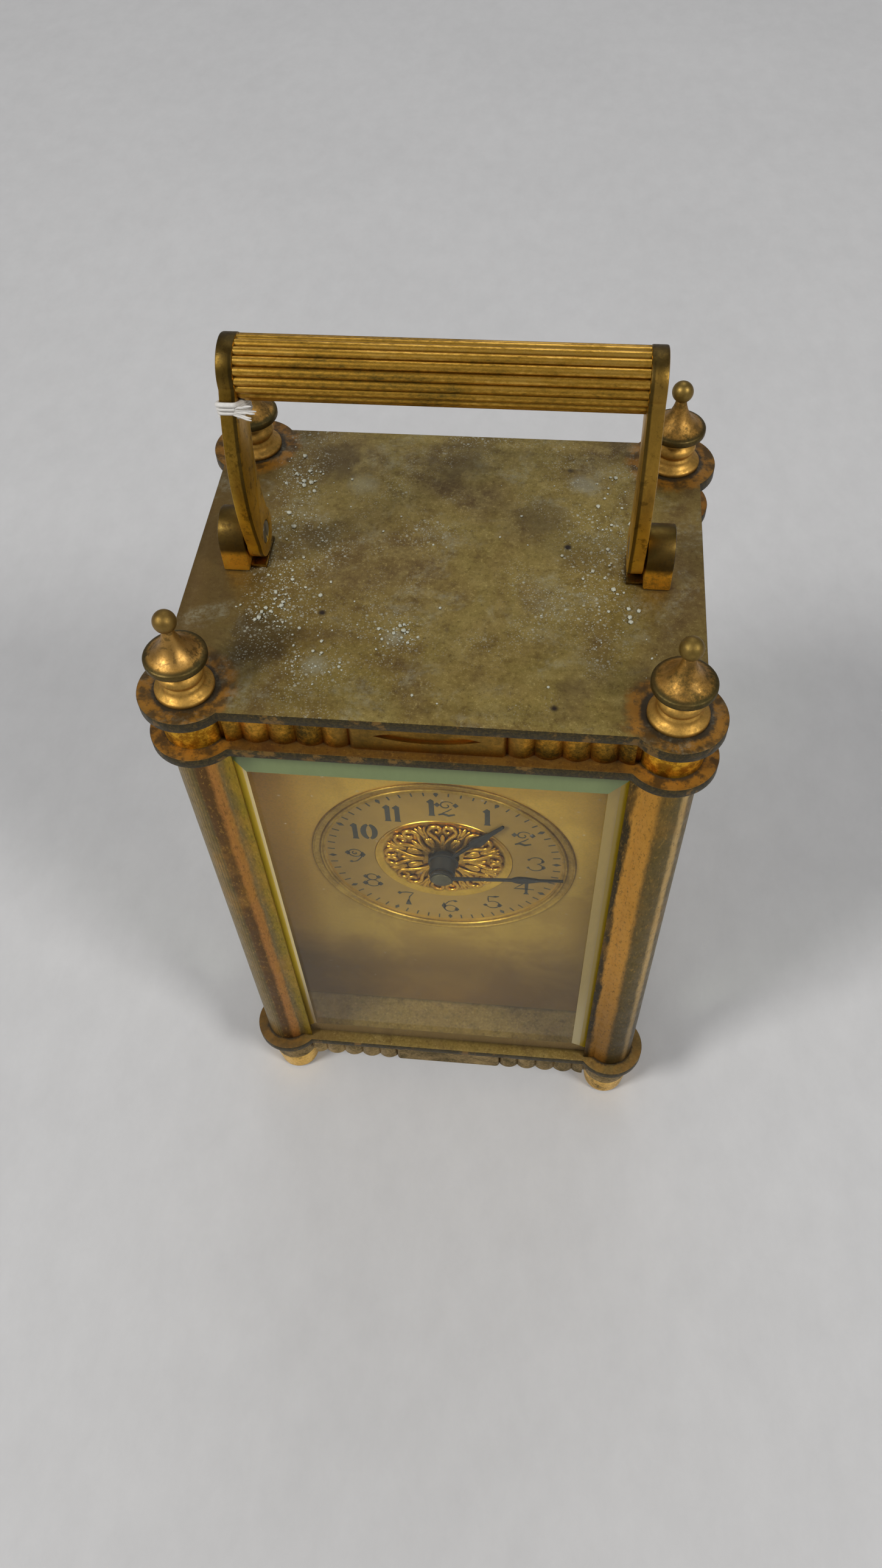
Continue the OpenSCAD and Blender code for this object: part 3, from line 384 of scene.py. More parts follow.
def crust(m, colour, height, bloom, facing_up):
    """Stains, frost, pale dust and pits over the colour and height of a tarnished plate."""
    x, y = m.axis("x"), m.axis("y")
    from_x = m.size(x)
    for px, py, radius, amount, stain in STAINS:
        away = m.plus(m.distance(x, px, y, py), m.around(bloom, radius * 2.2 * MM))
        colour = m.lay(colour, stain, m.span(away, radius, radius * 0.3), amount, facing_up)
    frost = m.times(m.band(m.noise(9, 5, 0.72, (0.23, 0.31, 0), warp=0.6), 0.5, 0.68), facing_up,
                    m.band(m.noise(0.8, 4, 0.8, (0.4, 0, 0)), 0.35, 0.65))
    colour = m.lay(colour, (0.38, 0.37, 0.255), frost, 0.42)
    across = m.maths("DIVIDE", m.less(from_x, 25 * MM), 9 * MM)
    along = m.maths("DIVIDE", m.plus(y, 3 * MM), 19 * MM)
    beside_lugs = m.band(m.plus(m.squared(across), m.squared(along)), 1.5, 0.0)
    spread = m.plus(m.noise(13, 4, 0.6, (0.11, 0.02, 0)),
                    m.times(m.span(x, 30, -40), 0.05), m.times(beside_lugs, 0.17))
    dusty = m.times(m.band(spread, 0.47, 0.7), facing_up, m.span(from_x, 32.5, 29.5))
    small, large = m.specks(0.42, 0.34), m.specks(1.2, 0.26, (0.004, 0.007, 0))
    dust = m.maths("MAXIMUM", m.times(small, dusty), m.times(large, m.band(dusty, 0.3, 1.0)),
                   clamp=True)
    colour = m.lay(colour, (0.52, 0.52, 0.42), dust, 0.75)
    height = m.plus(height, m.times(dust, 2.0))
    pits = m.times(m.specks(11, 0.075, (0.003, 0.001, 0)), facing_up)
    colour = m.mix(pits, colour, (0.022, 0.012, 0.007))
    return colour, height


def plate_material(name, crusted, tone, ears):
    """Olive tarnish on top, dark edges, and worn gold round the ears. crusted adds stains and
    pale dust, tone multiplies the colour of the top, and ears is how strongly the worn gold shows."""
    m = Material(name)
    clouds = m.noise(21, 4, 0.55, (0.31, 0.12, 0), warp=0.7)
    fine = m.noise(0.55, 5, 0.8)
    mottle = m.noise(2.6, 5, 0.72, (0.02, 0.05, 0))
    bloom = m.noise(7, 5, 0.7, (0.07, 0.22, 0), warp=0.5)
    top = m.ramp(clouds, [(0.33, (0.1, 0.066, 0.03)), (0.46, (0.165, 0.125, 0.042)),
                          (0.56, (0.185, 0.15, 0.052)), (0.68, (0.15, 0.112, 0.05))])
    top = m.lay(top, (0.27, 0.232, 0.12), m.band(bloom, 0.5, 0.68), 0.5)
    top = m.lay(top, (0.265, 0.215, 0.095), m.band(mottle, 0.42, 0.66), 0.42)
    top = m.lay(top, (0.08, 0.05, 0.017), m.band(mottle, 0.46, 0.3), 0.6)
    top = m.lay(top, (0.38, 0.33, 0.185), m.band(fine, 0.54, 0.68), 0.65)
    top = m.lay(top, (0.06, 0.038, 0.012), m.band(fine, 0.47, 0.34), 0.6)
    x, y = m.axis("x"), m.axis("y")
    from_x, from_y = m.size(x), m.size(y)
    to_left = m.span(m.plus(x, m.times(clouds, 34 * MM)), 12, -20)
    browner = m.plus(to_left, m.span(from_x, 26, 40))
    top = m.mix(m.maths("MULTIPLY", browner, 0.42, clamp=True), top, (0.085, 0.052, 0.018))
    top = m.tint(top, tone)
    near = m.plus(m.distance(from_x, COLUMN_X, from_y, COLUMN_Y), m.around(mottle, 2.5 * MM))
    gold = m.mix(m.band(m.noise(2.4, 4, 0.6, (0.01, 0, 0)), 0.4, 0.58), (0.095, 0.047, 0.008),
                 (0.34, 0.15, 0.014))
    gold = m.lay(gold, (0.05, 0.032, 0.012), m.band(fine, 0.56, 0.66), 0.8)
    top = m.lay(top, gold, m.span(near, 8.6, 6.6), ears)
    top = m.lay(top, (0.045, 0.032, 0.016), m.span(near, 5.6, 4.9))
    edge = m.mix(m.band(fine, 0.42, 0.66), (0.026, 0.019, 0.004), (0.08, 0.054, 0.01))
    edge = m.lay(edge, (0.3, 0.155, 0.026), 0.55,
                 m.band(m.noise(3.5, 4, 0.7, (0.05, 0, 0)), 0.55, 0.66))
    facing_up = m.band(m.normal_axis("z"), 0.45, 0.8)
    facing_down = m.band(m.normal_axis("z"), -0.45, -0.8)
    colour = m.mix(facing_up, edge, top)
    colour = m.mix(facing_down, colour, (0.3, 0.17, 0.04))
    # Hollows darkened by ambient occlusion: partly grime, partly painted shade.
    colour = m.mix(m.band(m.hollows(1.6), 0.25, 0.75), (0.035, 0.022, 0.008), colour)
    height = m.plus(fine, m.times(mottle, 0.8))
    if crusted:
        colour, height = crust(m, colour, height, bloom, facing_up)
    m.set(Base_Color=colour, Metallic=0.45, Roughness=m.ramp(mottle, [(0.35, 0.6), (0.65, 0.44)]))
    return m.bump(height, 0.4, 0.06)


TAN = (0.27, 0.195, 0.075)
DULL = (0.155, 0.115, 0.04)
GOLD = (0.66, 0.345, 0.07)
GREY_EDGE = (0.2, 0.16, 0.085)
COPPER = (0.42, 0.195, 0.06)
BROWN = (0.115, 0.058, 0.018)
ROSE = (0.62, 0.44, 0.21)
SHADED = (0.04, 0.028, 0.006)
OLIVE_GOLD = (0.22, 0.135, 0.012)
YELLOW_EDGE = (0.27, 0.2, 0.014)
BACK_TINTS = ((1.0, 0.95, 0.8),) * 2
GROOVES = 50
# Each column's bands (tarnish with painted reflections and shade), the angles between which it is
# grooved, and its tints at top and foot
COLUMN_LOOKS = {
    "front_left": (
        [(-180, TAN), (-150, GREY_EDGE), (-122, TAN), (-108, (0.21, 0.15, 0.052)), (-100, DULL),
         (-93, BROWN), (-76, BROWN), (-68, COPPER), (-55, (0.4, 0.2, 0.06)), (-49, GREY_EDGE),
         (-43, (0.19, 0.14, 0.04)), (-37, YELLOW_EDGE), (-24, YELLOW_EDGE), (0, DULL), (100, TAN),
         (150, DULL)], (-150, -92), ((1.15, 1.08, 0.8), (1.1, 1.05, 0.85))),
    "front_right": (
        [(-158, OLIVE_GOLD), (-150, OLIVE_GOLD), (-147, SHADED), (-143, SHADED), (-139, GOLD),
         (-106, GOLD), (-96, (0.17, 0.115, 0.038)), (-88, DULL), (-62, DULL), (-54, ROSE),
         (-47, ROSE), (-40, DULL), (0, GREY_EDGE), (90, TAN), (150, DULL)],
        (-40, 30), ((0.94, 0.88, 0.62), (0.5, 0.47, 0.34))),
    "back_left": (
        [(-180, GOLD), (-130, TAN), (-60, GILT_MIDDLE), (0, DULL), (80, GOLD), (150, TAN)],
        (90, 150), BACK_TINTS),
    "back_right": (
        [(-180, DULL), (-120, TAN), (-60, DULL), (0, GOLD), (80, GILT_MIDDLE), (150, TAN)],
        (30, 90), BACK_TINTS)}


def column_material(name, centre, bands, grooved, tints):
    """A gilt column coloured in upright bands, partly tarnish and partly painted reflections and
    shade: (degrees round the axis, colour).
    grooved is the pair of angles between which fine upright lines show, and tints are the
    factors of the colour at the top and at the foot."""
    m = Material(name)
    drift = m.around(m.noise(1.6, 5, 0.75, stretch=(1, 1, 0.22)), 0.045)
    angle = m.maths("ARCTAN2", m.less(m.axis("y"), centre[1] * MM),
                    m.less(m.axis("x"), centre[0] * MM))
    turn = m.maths("MULTIPLY_ADD", angle, 1 / (2 * math.pi), 0.5)
    fine = m.noise(0.42, 4, 0.75, stretch=(1, 1, 0.4))
    long_patches = m.noise(9, 4, 0.65, (centre[0] * MM, 0, 0.03), (1, 1, 0.5))
    # Painted reflections and painted shade: the bands follow how the column looks from one side,
    # besides its tarnish.
    colour = m.ramp(m.plus(turn, drift),
                    [((degrees + 180) / 360, tone) for degrees, tone in bands])
    colour = m.lay(colour, GILT_MIDDLE, m.band(long_patches, 0.5, 0.68), 0.3)
    colour = m.lay(colour, (0.075, 0.05, 0.016), m.band(fine, 0.53, 0.66), 0.55)
    colour = m.lay(colour, (0.7, 0.42, 0.1), m.band(fine, 0.45, 0.34), 0.3)
    low, high = ((edge + 180) / 360 for edge in grooved)
    lines = m.maths("SINE", m.times(turn, 2 * math.pi * GROOVES))
    cut = m.times(m.band(lines, 0.0, 0.9), m.band(turn, low, low + 0.02),
                  m.band(turn, high, high - 0.02))
    colour = m.lay(colour, (0.06, 0.045, 0.018), cut, 0.45)
    shaded = m.less(1.0, m.band(m.hollows(1.4), 0.3, 0.85))
    colour = m.lay(colour, (0.04, 0.026, 0.008), shaded, 0.8)
    foot = m.span(m.axis("z"), 70, 25)
    colour = m.tint(colour, m.mix(foot, tints[0], tints[1]))
    m.set(Base_Color=colour, Metallic=0.9,
          Roughness=m.ramp(m.noise(2.2, 4, 0.7), [(0.35, 0.36), (0.7, 0.52)]))
    return m.bump(m.less(fine, m.times(cut, 0.8)), 0.3, 0.05)


def glass_material(name, haze, tint=(0.97, 0.97, 0.9), dulled=0.6):
    """Clear glass that lets lamplight through, with the faintest film and a few specks of dust.
    dulled is the share of its reflection that is taken away."""
    m = Material(name)
    smears = m.noise(1.1, 5, 0.75, (0.05, 0.01, 0.02), (1, 1, 1.6))
    specks = m.times(m.specks(4.2, 0.085, (0.001, 0.002, 0.003)), 0.3)
    film = m.maths("MAXIMUM", m.times(m.band(smears, 0.45, 0.75), haze), specks)
    m.set(Base_Color=tint, Roughness=0.02, IOR=1.5, Transmission_Weight=m.less(1.0, film))
    bent = m.node("ShaderNodeBsdfRefraction", Color=tuple(c ** 0.5 for c in tint), Roughness=0.02,
                  IOR=1.5)
    body = m.plug(m.node("ShaderNodeMixShader"), dulled, m.shader.outputs[0], bent.outputs[0])
    lamps = m.node("ShaderNodeLightPath").outputs["Is Shadow Ray"]
    through = m.node("ShaderNodeBsdfTransparent", Color=(0.88, 0.9, 0.86)).outputs[0]
    whole = m.plug(m.node("ShaderNodeMixShader"), lamps, body, through)
    m.fill(m.tree.nodes["Material Output"], Surface=whole)
    return m


def bevel_material(name, tone, clear, rough=0.15, low_tone=None):
    """The ground bevel of a glass, painted with a colour that stands for what it reflects and shows
    through it: a painted reflection. low_tone is the colour that it has near the foot of the glass."""
    m = Material(name)
    scratches = m.noise(0.8, 4, 0.7, stretch=(1, 1, 0.3))
    colour = m.mix(scratches, tuple(0.82 * c for c in tone), tone)
    if low_tone:
        colour = m.mix(m.span(m.axis("z"), 55, 28), colour, low_tone)
    m.set(Base_Color=colour, Roughness=m.ramp(scratches, [(0.3, rough), (0.7, rough + 0.12)]),
          IOR=1.5, Transmission_Weight=clear)
    return m.bump(scratches, 0.08, 0.02)


def mask_material():
    """Satin gilt sheet, warm above with painted light lifting its top, and clouded brown towards its
    foot and left edge.
    """
    m = Material("mask_gilt")
    clouds = m.noise(16, 4, 0.6, (0.2, 0, 0.1), warp=0.3)
    grain = m.noise(0.35, 4, 0.75)
    height = m.plus(m.axis("z"), m.around(clouds, 10 * MM))
    low = m.span(height, 55, 33)
    left = m.span(m.plus(m.axis("x"), m.times(clouds, 9 * MM)), -14, -26)
    warm = m.mix(m.band(clouds, 0.4, 0.62), (0.38, 0.245, 0.055), (0.46, 0.31, 0.075))
    dull = m.mix(m.band(clouds, 0.42, 0.62), (0.19, 0.131, 0.05), (0.225, 0.162, 0.066))
    violet = m.band(m.noise(11, 3, 0.5, (0.33, 0.1, 0.4)), 0.52, 0.66)
    dull = m.lay(dull, (0.165, 0.118, 0.082), violet, 0.4)
    colour = m.lay(warm, (0.56, 0.345, 0.095), left, 0.7)
    # Painted light: the colour is lifted towards the top, against the shade that the top plate and rim
    # cast there.
    upper = m.span(m.axis("z"), 58, 105)
    colour = m.tint(colour, m.mix(upper, (1.36, 1.32, 0.94), (1.95, 1.86, 1.3)))
    colour = m.mix(low, colour, m.tint(dull, (1.62, 1.36, 0.8)))
    colour = m.lay(colour, (0.2, 0.13, 0.05), m.band(grain, 0.4, 0.7), 0.18)
    colour = m.lay(colour, (0.42, 0.36, 0.24), m.specks(3.1, 0.09), low, 0.4)
    m.set(Base_Color=colour, Metallic=0.6, Roughness=0.45)
    return m.bump(grain, 0.12, 0.02)


def simple_metal(name, colour, rough, brushed=(1, 1, 1), metallic=1.0):
    m = Material(name)
    strokes = m.noise(1.2, 4, 0.7, stretch=brushed)
    patches = m.noise(7, 4, 0.6)
    lighter = tuple(min(1.0, c * 1.15) for c in colour)
    darker = tuple(c * 0.78 for c in colour)
    base = m.mix(m.band(patches, 0.3, 0.66), darker, m.mix(strokes, colour, lighter))
    m.set(Base_Color=base, Metallic=metallic,
          Roughness=m.ramp(strokes, [(0.3, rough * 0.8), (0.7, min(1.0, rough * 1.25))]))
    return m.bump(strokes, 0.12, 0.02)


def plain_material(name, colour, rough, size_mm=1.5):
    m = Material(name)
    tone = m.noise(size_mm, 4, 0.65)
    base = m.mix(tone, tuple(c * 0.78 for c in colour), tuple(min(1, c * 1.12) for c in colour))
    m.set(Base_Color=base, Roughness=rough)
    return m.bump(tone, 0.2, 0.03)


def make_floor():
    """A wide sheet of pale grey paper under the clock."""
    mesh = bpy.data.meshes.new("floor")
    mesh.from_pydata([(-4, -4, 0), (4, -4, 0), (4, 4, 0), (-4, 4, 0)], [], [(0, 1, 2, 3)])
    floor = add_object("floor", mesh)
    m = Material("floor_paper")
    fibres = m.noise(14, 6, 0.7, stretch=(1.6, 1, 1))
    tone = m.plus(m.times(fibres, 0.6), m.times(m.noise(90, 3, 0.5), 0.4))
    m.set(Base_Color=m.ramp(tone, [(0.35, (0.585, 0.585, 0.59)), (0.65, (0.635, 0.635, 0.64))]),
          Roughness=0.85)
    mesh.materials.append(m.data)


# ---------------------------------------------------------------- mesh helpers

def new_piece(name, verts, faces, body, materials, smooth=True, split=35, bevel=0.0):
    mesh = bpy.data.meshes.new(name)
    mesh.from_pydata([Vector(v) * MM for v in verts], [], faces)
    mesh.validate()
    obj = add_object(name, mesh)
    for m in materials if isinstance(materials, (list, tuple)) else [materials]:
        mesh.materials.append(m.data)
    finish_faces(obj, smooth, split, bevel)
    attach(obj, body)
    return obj


def finish_faces(obj, smooth=True, split=35, bevel=0.0):
    """Smooth shading that keeps hard edges, and a fine round along them where bevel is set."""
    for polygon in obj.data.polygons:
        polygon.use_smooth = smooth
    if bevel:
        mod = obj.modifiers.new("round", "BEVEL")
        mod.width = bevel * MM
        mod.segments = 2
        mod.limit_method = "ANGLE"
        mod.angle_limit = math.radians(split)
        mod.harden_normals = False
    if smooth:
        mod = obj.modifiers.new("edges", "EDGE_SPLIT")
        mod.split_angle = math.radians(split)


def dress(names, material, bevel=0.0, split=35):
    """Gives CAD nodes their material, smooth shading and, with bevel, finely rounded edges."""
    for name in names.split():
        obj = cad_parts[name]
        obj.data.materials.clear()
        obj.data.materials.append(material.data)
        custom = obj.data.attributes.get("custom_normal")
        if custom:
            obj.data.attributes.remove(custom)
        weld = obj.modifiers.new("weld", "WELD")
        weld.merge_threshold = 2e-6
        if bevel:
            flat = obj.modifiers.new("flat", "DECIMATE")
            flat.decimate_type = "DISSOLVE"
            flat.angle_limit = math.radians(0.5)
        finish_faces(obj, True, split, bevel)


def ring_faces(rings, steps, first=0, capped=True):
    """The faces between rings of points, each ring after the one before it, and the two ends."""
    faces = []
    for ring in range(rings - 1):
        for i in range(steps):
            a, b = first + ring * steps + i, first + ring * steps + (i + 1) % steps
            faces.append((a, b, b + steps, a + steps))
    if capped:
        last = first + (rings - 1) * steps
        faces.append(tuple(range(first, first + steps))[::-1])
        faces.append(tuple(range(last, last + steps)))
    return faces


def flipped(faces):
    return [face[::-1] for face in faces]


def lathe(profile, centre, steps=64):
    """Verts and faces of a profile of (radius, height) turned about an upright axis."""
    verts = []
    for r, z in profile:
        for i in range(steps):
            a = 2 * math.pi * i / steps
            verts.append((centre[0] + r * math.cos(a), centre[1] + r * math.sin(a), centre[2] + z))
    return verts, ring_faces(len(profile), steps)


def smooth_line(points, per=6):
    """A Catmull-Rom line through the points."""
    points = [Vector(p) for p in points]
    line = []
    for i in range(len(points) - 1):
        p0 = points[max(i - 1, 0)]
        p1, p2 = points[i], points[i + 1]
        p3 = points[min(i + 2, len(points) - 1)]
        for s in range(per):
            t = s / per
            line.append(0.5 * ((2 * p1) + (p2 - p0) * t + (2 * p0 - 5 * p1 + 4 * p2 - p3) * t * t
                               + (3 * p1 - p0 - 3 * p2 + p3) * t ** 3))
    line.append(points[-1])
    return line


def tube(points, radius, verts, faces, sides=8, taper=0.0):
    """Adds a tube along points. taper narrows both ends."""
    points = [Vector(p) for p in points]
    first = len(verts)
    normal = None
    for i, p in enumerate(points):
        along = (points[min(i + 1, len(points) - 1)] - points[max(i - 1, 0)]).normalized()
        if normal is None:
            normal = along.orthogonal().normalized()
        normal = (normal - along * normal.dot(along)).normalized()
        other = along.cross(normal)
        end = min(i, len(points) - 1 - i) / max(1, len(points) - 1) * 2
        r = radius * (1 - taper * (1 - min(1.0, end * 2)))
        for k in range(sides):
            a = 2 * math.pi * k / sides
            verts.append(tuple(p + (normal * math.cos(a) + other * math.sin(a)) * r))
    faces.extend(ring_faces(len(points), sides, first))


# ---------------------------------------------------------------- pieces

FINIAL_PROFILE = [
    (4.38, 0), (4.5, 0.12), (4.5, 0.5), (4.35, 0.72), (3.95, 0.95), (3.5, 1.3),
    (3.3, 1.7), (3.22, 2.05), (3.0, 2.2), (2.96, 2.4), (3.15, 2.6), (3.42, 2.95),
    (3.52, 3.35), (3.42, 3.8), (3.12, 4.15), (2.75, 4.4), (2.55, 4.65),
    (2.5, 5.0), (2.6, 5.35), (2.95, 5.68), (3.6, 5.95), (4.3, 6.1), (4.58, 6.2),
    (4.68, 6.35), (4.7, 6.7), (4.68, 7.08), (4.58, 7.24), (4.4, 7.34), (4.12, 7.44),
    (3.76, 7.6), (3.32, 7.86), (2.84, 8.24), (2.36, 8.72), (1.92, 9.28),
    (1.56, 9.9), (1.27, 10.55), (1.06, 11.2), (0.92, 11.8), (0.86, 12.2)]
BALL_R, BALL_Z = 1.73, 13.76


def make_finials(materials):
    low = math.asin((12.24 - BALL_Z) / BALL_R)
    ball = [(BALL_R * math.cos(a), BALL_Z + BALL_R * math.sin(a))
            for a in [low + (math.pi / 2 - low) * i / 16 for i in range(16)]]
    for (name, (sx, sy)), material in zip(CORNERS.items(), materials):
        verts, faces = lathe(FINIAL_PROFILE + ball + [(0.02, BALL_Z + BALL_R)],
                             (sx * COLUMN_X, sy * COLUMN_Y, PLATE_TOP))
        piece = new_piece("turned_finial_" + name, verts, faces, "case",
                          material, split=60)
        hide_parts("finial_" + name)


# Places of the front glass's materials in the list that make_front_glass is given
CLEAR, TOP, LEFT_LINE, LEFT_EDGE, RIGHT_STRIP, RIGHT_EDGE, LOW = range(7)


def make_front_glass(materials):
    """The front glass with its bevel faces. Each side bevel is in two strips, painted with reflections
    of the brass column beside it:
    a narrow pale line on the left, a wider strip on the right."""
    slack = 0.02
    z0, z1 = GLASS_Z0 + slack, GLASS_Z1 - slack
    y0, y1 = GLASS_Y, GLASS_Y + GLASS_T
    line_share, strip_share = 0.14, 0.32

    def corner_points(left, right, depth=None):
        """The corners of an outline that is this share of the way out over the two side bevels."""
        out = []
        for side, low in ((-1, True), (1, True), (1, False), (-1, False)):
            share = left if side < 0 else right
            x = side * (GLASS_HALF_W - (1 - share) * (BEVEL_LEFT_W if side < 0 else BEVEL_W))
            y = y0 + BEVEL_D * share if depth is None else depth
            inset = (1 - share) * BEVEL_W
            out.append((x, y, z0 + inset if low else z1 - inset))
        return out

    verts = (corner_points(0, 0) + corner_points(line_share, strip_share)
             + corner_points(1, 1) + corner_points(1, 1, y1))
    kinds = [LOW, RIGHT_STRIP, TOP, LEFT_LINE] + [LOW, RIGHT_EDGE, TOP, LEFT_EDGE] * 2 + [CLEAR] * 2
    glass = new_piece("front_pane", verts, flipped(ring_faces(4, 4)), "case", materials,
                      smooth=False)
    for polygon, kind in zip(glass.data.polygons, kinds):
        polygon.material_index = kind
    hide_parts("front_glass")


def dial_point(r, clockwise, lift):
    """A point on the dial: radius and clockwise angle from twelve, lift in front of its face."""
    a = math.radians(clockwise)
    return (r * math.sin(a), DIAL_Y - lift, DIAL_Z + r * math.cos(a))


def arc_line(cx, cy, rx, ry, start, end, steps):
    turns = [math.radians(start + (end - start) * i / steps) for i in range(steps + 1)]
    return [(cx + rx * math.cos(a), cy + ry * math.sin(a)) for a in turns]


def spiral_line(cx, cy, r0, r1, start, end, steps):
    line = []
    for i in range(steps + 1):
        r = r0 + (r1 - r0) * i / steps
        a = math.radians(start + (end - start) * i / steps)
        line.append((cx + r * math.cos(a), cy + r * math.sin(a)))
    return line


def wedge(x, y, half_w, half_h):
    """A solid diamond, which gives the figures their heavy sides."""
    return [(x - half_w, y), (x, y + half_h), (x + half_w, y), (x, y - half_h)], SOLID


# Strokes of each figure in a box 1 high: a line and its width at the middle, or a solid shape
SOLID = None
HAIR = 0.055
FIGURES = {
    "0": [
        (arc_line(0, 0, 0.21, 0.44, -80, 80, 16), 0.21),
        (arc_line(0, 0, 0.21, 0.44, 100, 260, 16), 0.21)],
    "1": [
        ([(-0.02, 0.5), (0.09, 0.4), (0.09, -0.4), (0.12, -0.5), (-0.12, -0.5),
          (-0.09, -0.4), (-0.09, 0.24), (-0.17, 0.33)], SOLID)],
    "2": [
        (spiral_line(0, 0.17, 0.05, 0.27, 60, -330, 30), HAIR),
        wedge(-0.31, 0.19, 0.11, 0.14), wedge(0.33, 0.19, 0.11, 0.14),
        ([(0.2, 0.0), (0.05, -0.16), (-0.14, -0.3)], HAIR),
        ([(-0.28, -0.42), (-0.12, -0.34), (0.08, -0.44), (0.3, -0.36)], 0.13)],
    "3": [
        (arc_line(0, 0.22, 0.24, 0.22, 160, -80, 18), HAIR),
        (arc_line(0, -0.22, 0.26, 0.23, 80, -160, 18), HAIR),
        wedge(0.25, 0.2, 0.07, 0.12), wedge(0.29, -0.22, 0.08, 0.14),
        wedge(-0.26, 0.27, 0.06, 0.08), wedge(-0.27, -0.27, 0.06, 0.08)],
    "4": [
        ([(0.1, 0.5), (-0.08, 0.2), (-0.34, -0.1)], HAIR),
        ([(-0.38, -0.13), (0, -0.12), (0.38, -0.14)], 0.07),
        ([(0.02, 0.3), (0.16, 0.4), (0.14, -0.38), (0.2, -0.5), (-0.02, -0.5), (0.04, -0.38)],
         SOLID)],
    "5": [
        ([(-0.17, 0.42), (0.05, 0.4), (0.24, 0.46)], 0.07), wedge(0.1, 0.42, 0.12, 0.07),
        ([(-0.17, 0.42), (-0.18, 0.2), (-0.16, 0.04)], HAIR),
        (arc_line(0, -0.18, 0.26, 0.25, 130, -150, 20), HAIR),
        wedge(-0.28, -0.24, 0.1, 0.1), wedge(0.27, -0.22, 0.11, 0.15)],
    "6": [
        ([(0.18, 0.44), (-0.04, 0.34), (-0.2, 0.1), (-0.24, -0.15)], HAIR),
        (arc_line(0, -0.2, 0.23, 0.24, 0, 360, 24), HAIR),
        wedge(-0.25, -0.02, 0.1, 0.26), wedge(0.25, -0.24, 0.1, 0.16),
        wedge(0.2, 0.38, 0.09, 0.08)],
    "7": [
        ([(-0.28, 0.38), (0, 0.44), (0.28, 0.4)], 0.07), wedge(-0.27, 0.36, 0.09, 0.12),
        ([(0.26, 0.4), (0.1, 0.1), (0.04, -0.3)], HAIR),
        ([(0.02, -0.12), (0.08, -0.12), (0.16, -0.5), (-0.08, -0.5)], SOLID)],
    "8": [
        (arc_line(0, 0.22, 0.2, 0.21, 0, 360, 22), HAIR),
        (arc_line(0, -0.22, 0.24, 0.23, 0, 360, 22), HAIR),
        wedge(-0.25, 0.24, 0.1, 0.13), wedge(0.25, 0.24, 0.1, 0.13),
        wedge(-0.29, -0.24, 0.12, 0.15), wedge(0.29, -0.24, 0.12, 0.15)],
    "9": [
        ([(-0.16, -0.44), (0.04, -0.34), (0.2, -0.1), (0.25, 0.12)], HAIR),
        (arc_line(0, 0.2, 0.24, 0.24, 0, 360, 24), HAIR),
        (spiral_line(0, 0.2, 0.03, 0.12, 60, -250, 16), HAIR),
        wedge(-0.28, 0.2, 0.11, 0.15), wedge(0.28, 0.12, 0.11, 0.2),
        wedge(-0.18, -0.4, 0.09, 0.08)],
}


def ribbon(points, width, verts, faces):
    """A flat stroke that is thickest in its middle."""
    pts = [Vector(p) for p in points]
    first = len(verts)
    for i, p in enumerate(pts):
        along = (pts[min(i + 1, len(pts) - 1)] - pts[max(i - 1, 0)]).normalized()
        side = Vector((-along.y, along.x))
        share = i / (len(pts) - 1)
        half = width / 2 * (0.55 + 0.45 * math.sin(math.pi * share))
        verts.append(tuple(p + side * half))
        verts.append(tuple(p - side * half))
    for i in range(len(pts) - 1):
        a = first + 2 * i
        faces.append((a, a + 1, a + 3, a + 2))


def make_dial_figures(ink):
    """Hour figures, minute strokes and five-minute diamonds, as thin printed solids."""
    verts, faces = [], []

    def add_flat(flat, flat_faces):
        """Adds a thin solid, from a little in front of the dial's face to a little behind it."""
        first, n = len(verts), len(flat)
        for y in (DIAL_Y - 0.035, DIAL_Y + 0.02):
            verts.extend((x, y, z) for x, z in flat)
        borders = {}
        for f in flat_faces:
            faces.append(tuple(first + i for i in f))
            faces.append(tuple(first + n + i for i in reversed(f)))
            borders.update(dict.fromkeys(zip(f, f[1:] + f[:1])))
        for a, b in borders:
            if (b, a) not in borders:
                faces.append((first + b, first + a, first + n + a, first + n + b))

    height, figure_r, nudge = 5.1, 17.0, 0.25
    digit_gap, narrow_gap = 2.6, 1.75
    stroke_in, stroke_out, stroke_half_w = 20.55, 21.9, 0.14
    mark_in, mark_out, mark_half_w = 20.25, 21.95, 0.46
    for hour in range(1, 13):
        angle = math.radians(hour * 30 + DIAL_TURN)
        text = str(hour)
        for place, digit in enumerate(text):
            gap = narrow_gap if text == "11" else digit_gap
            shift = nudge + (place - (len(text) - 1) / 2) * gap
            for line, width in FIGURES[digit]:
                flat, flat_faces = [], []
                if width == SOLID:
                    flat = list(line)
                    flat_faces = [tuple(range(len(flat)))]
                else:
                    ribbon(line, width, flat, flat_faces)
                flat = [(figure_r * math.sin(angle) + shift + x * height,
                         DIAL_Z + figure_r * math.cos(angle) + y * height) for x, y in flat]
                add_flat(flat, flat_faces)
    for minute in range(60):
        angle = math.radians(minute * 6 + DIAL_TURN)
        out = Vector((math.sin(angle), math.cos(angle)))
        side = Vector((out.y, -out.x))
        centre = Vector((0, DIAL_Z))
        if minute % 5:
            corners = [(stroke_in, -stroke_half_w), (stroke_in, stroke_half_w),
                       (stroke_out, stroke_half_w), (stroke_out, -stroke_half_w)]
        else:
            middle = (mark_in + mark_out) / 2
            corners = [(mark_in, 0), (middle, mark_half_w), (mark_out, 0), (middle, -mark_half_w)]
        flat = [tuple(centre + out * r + side * s) for r, s in corners]
        add_flat(flat, [tuple(range(4))])
    new_piece("dial_figures", verts, faces, "case", ink, smooth=False)


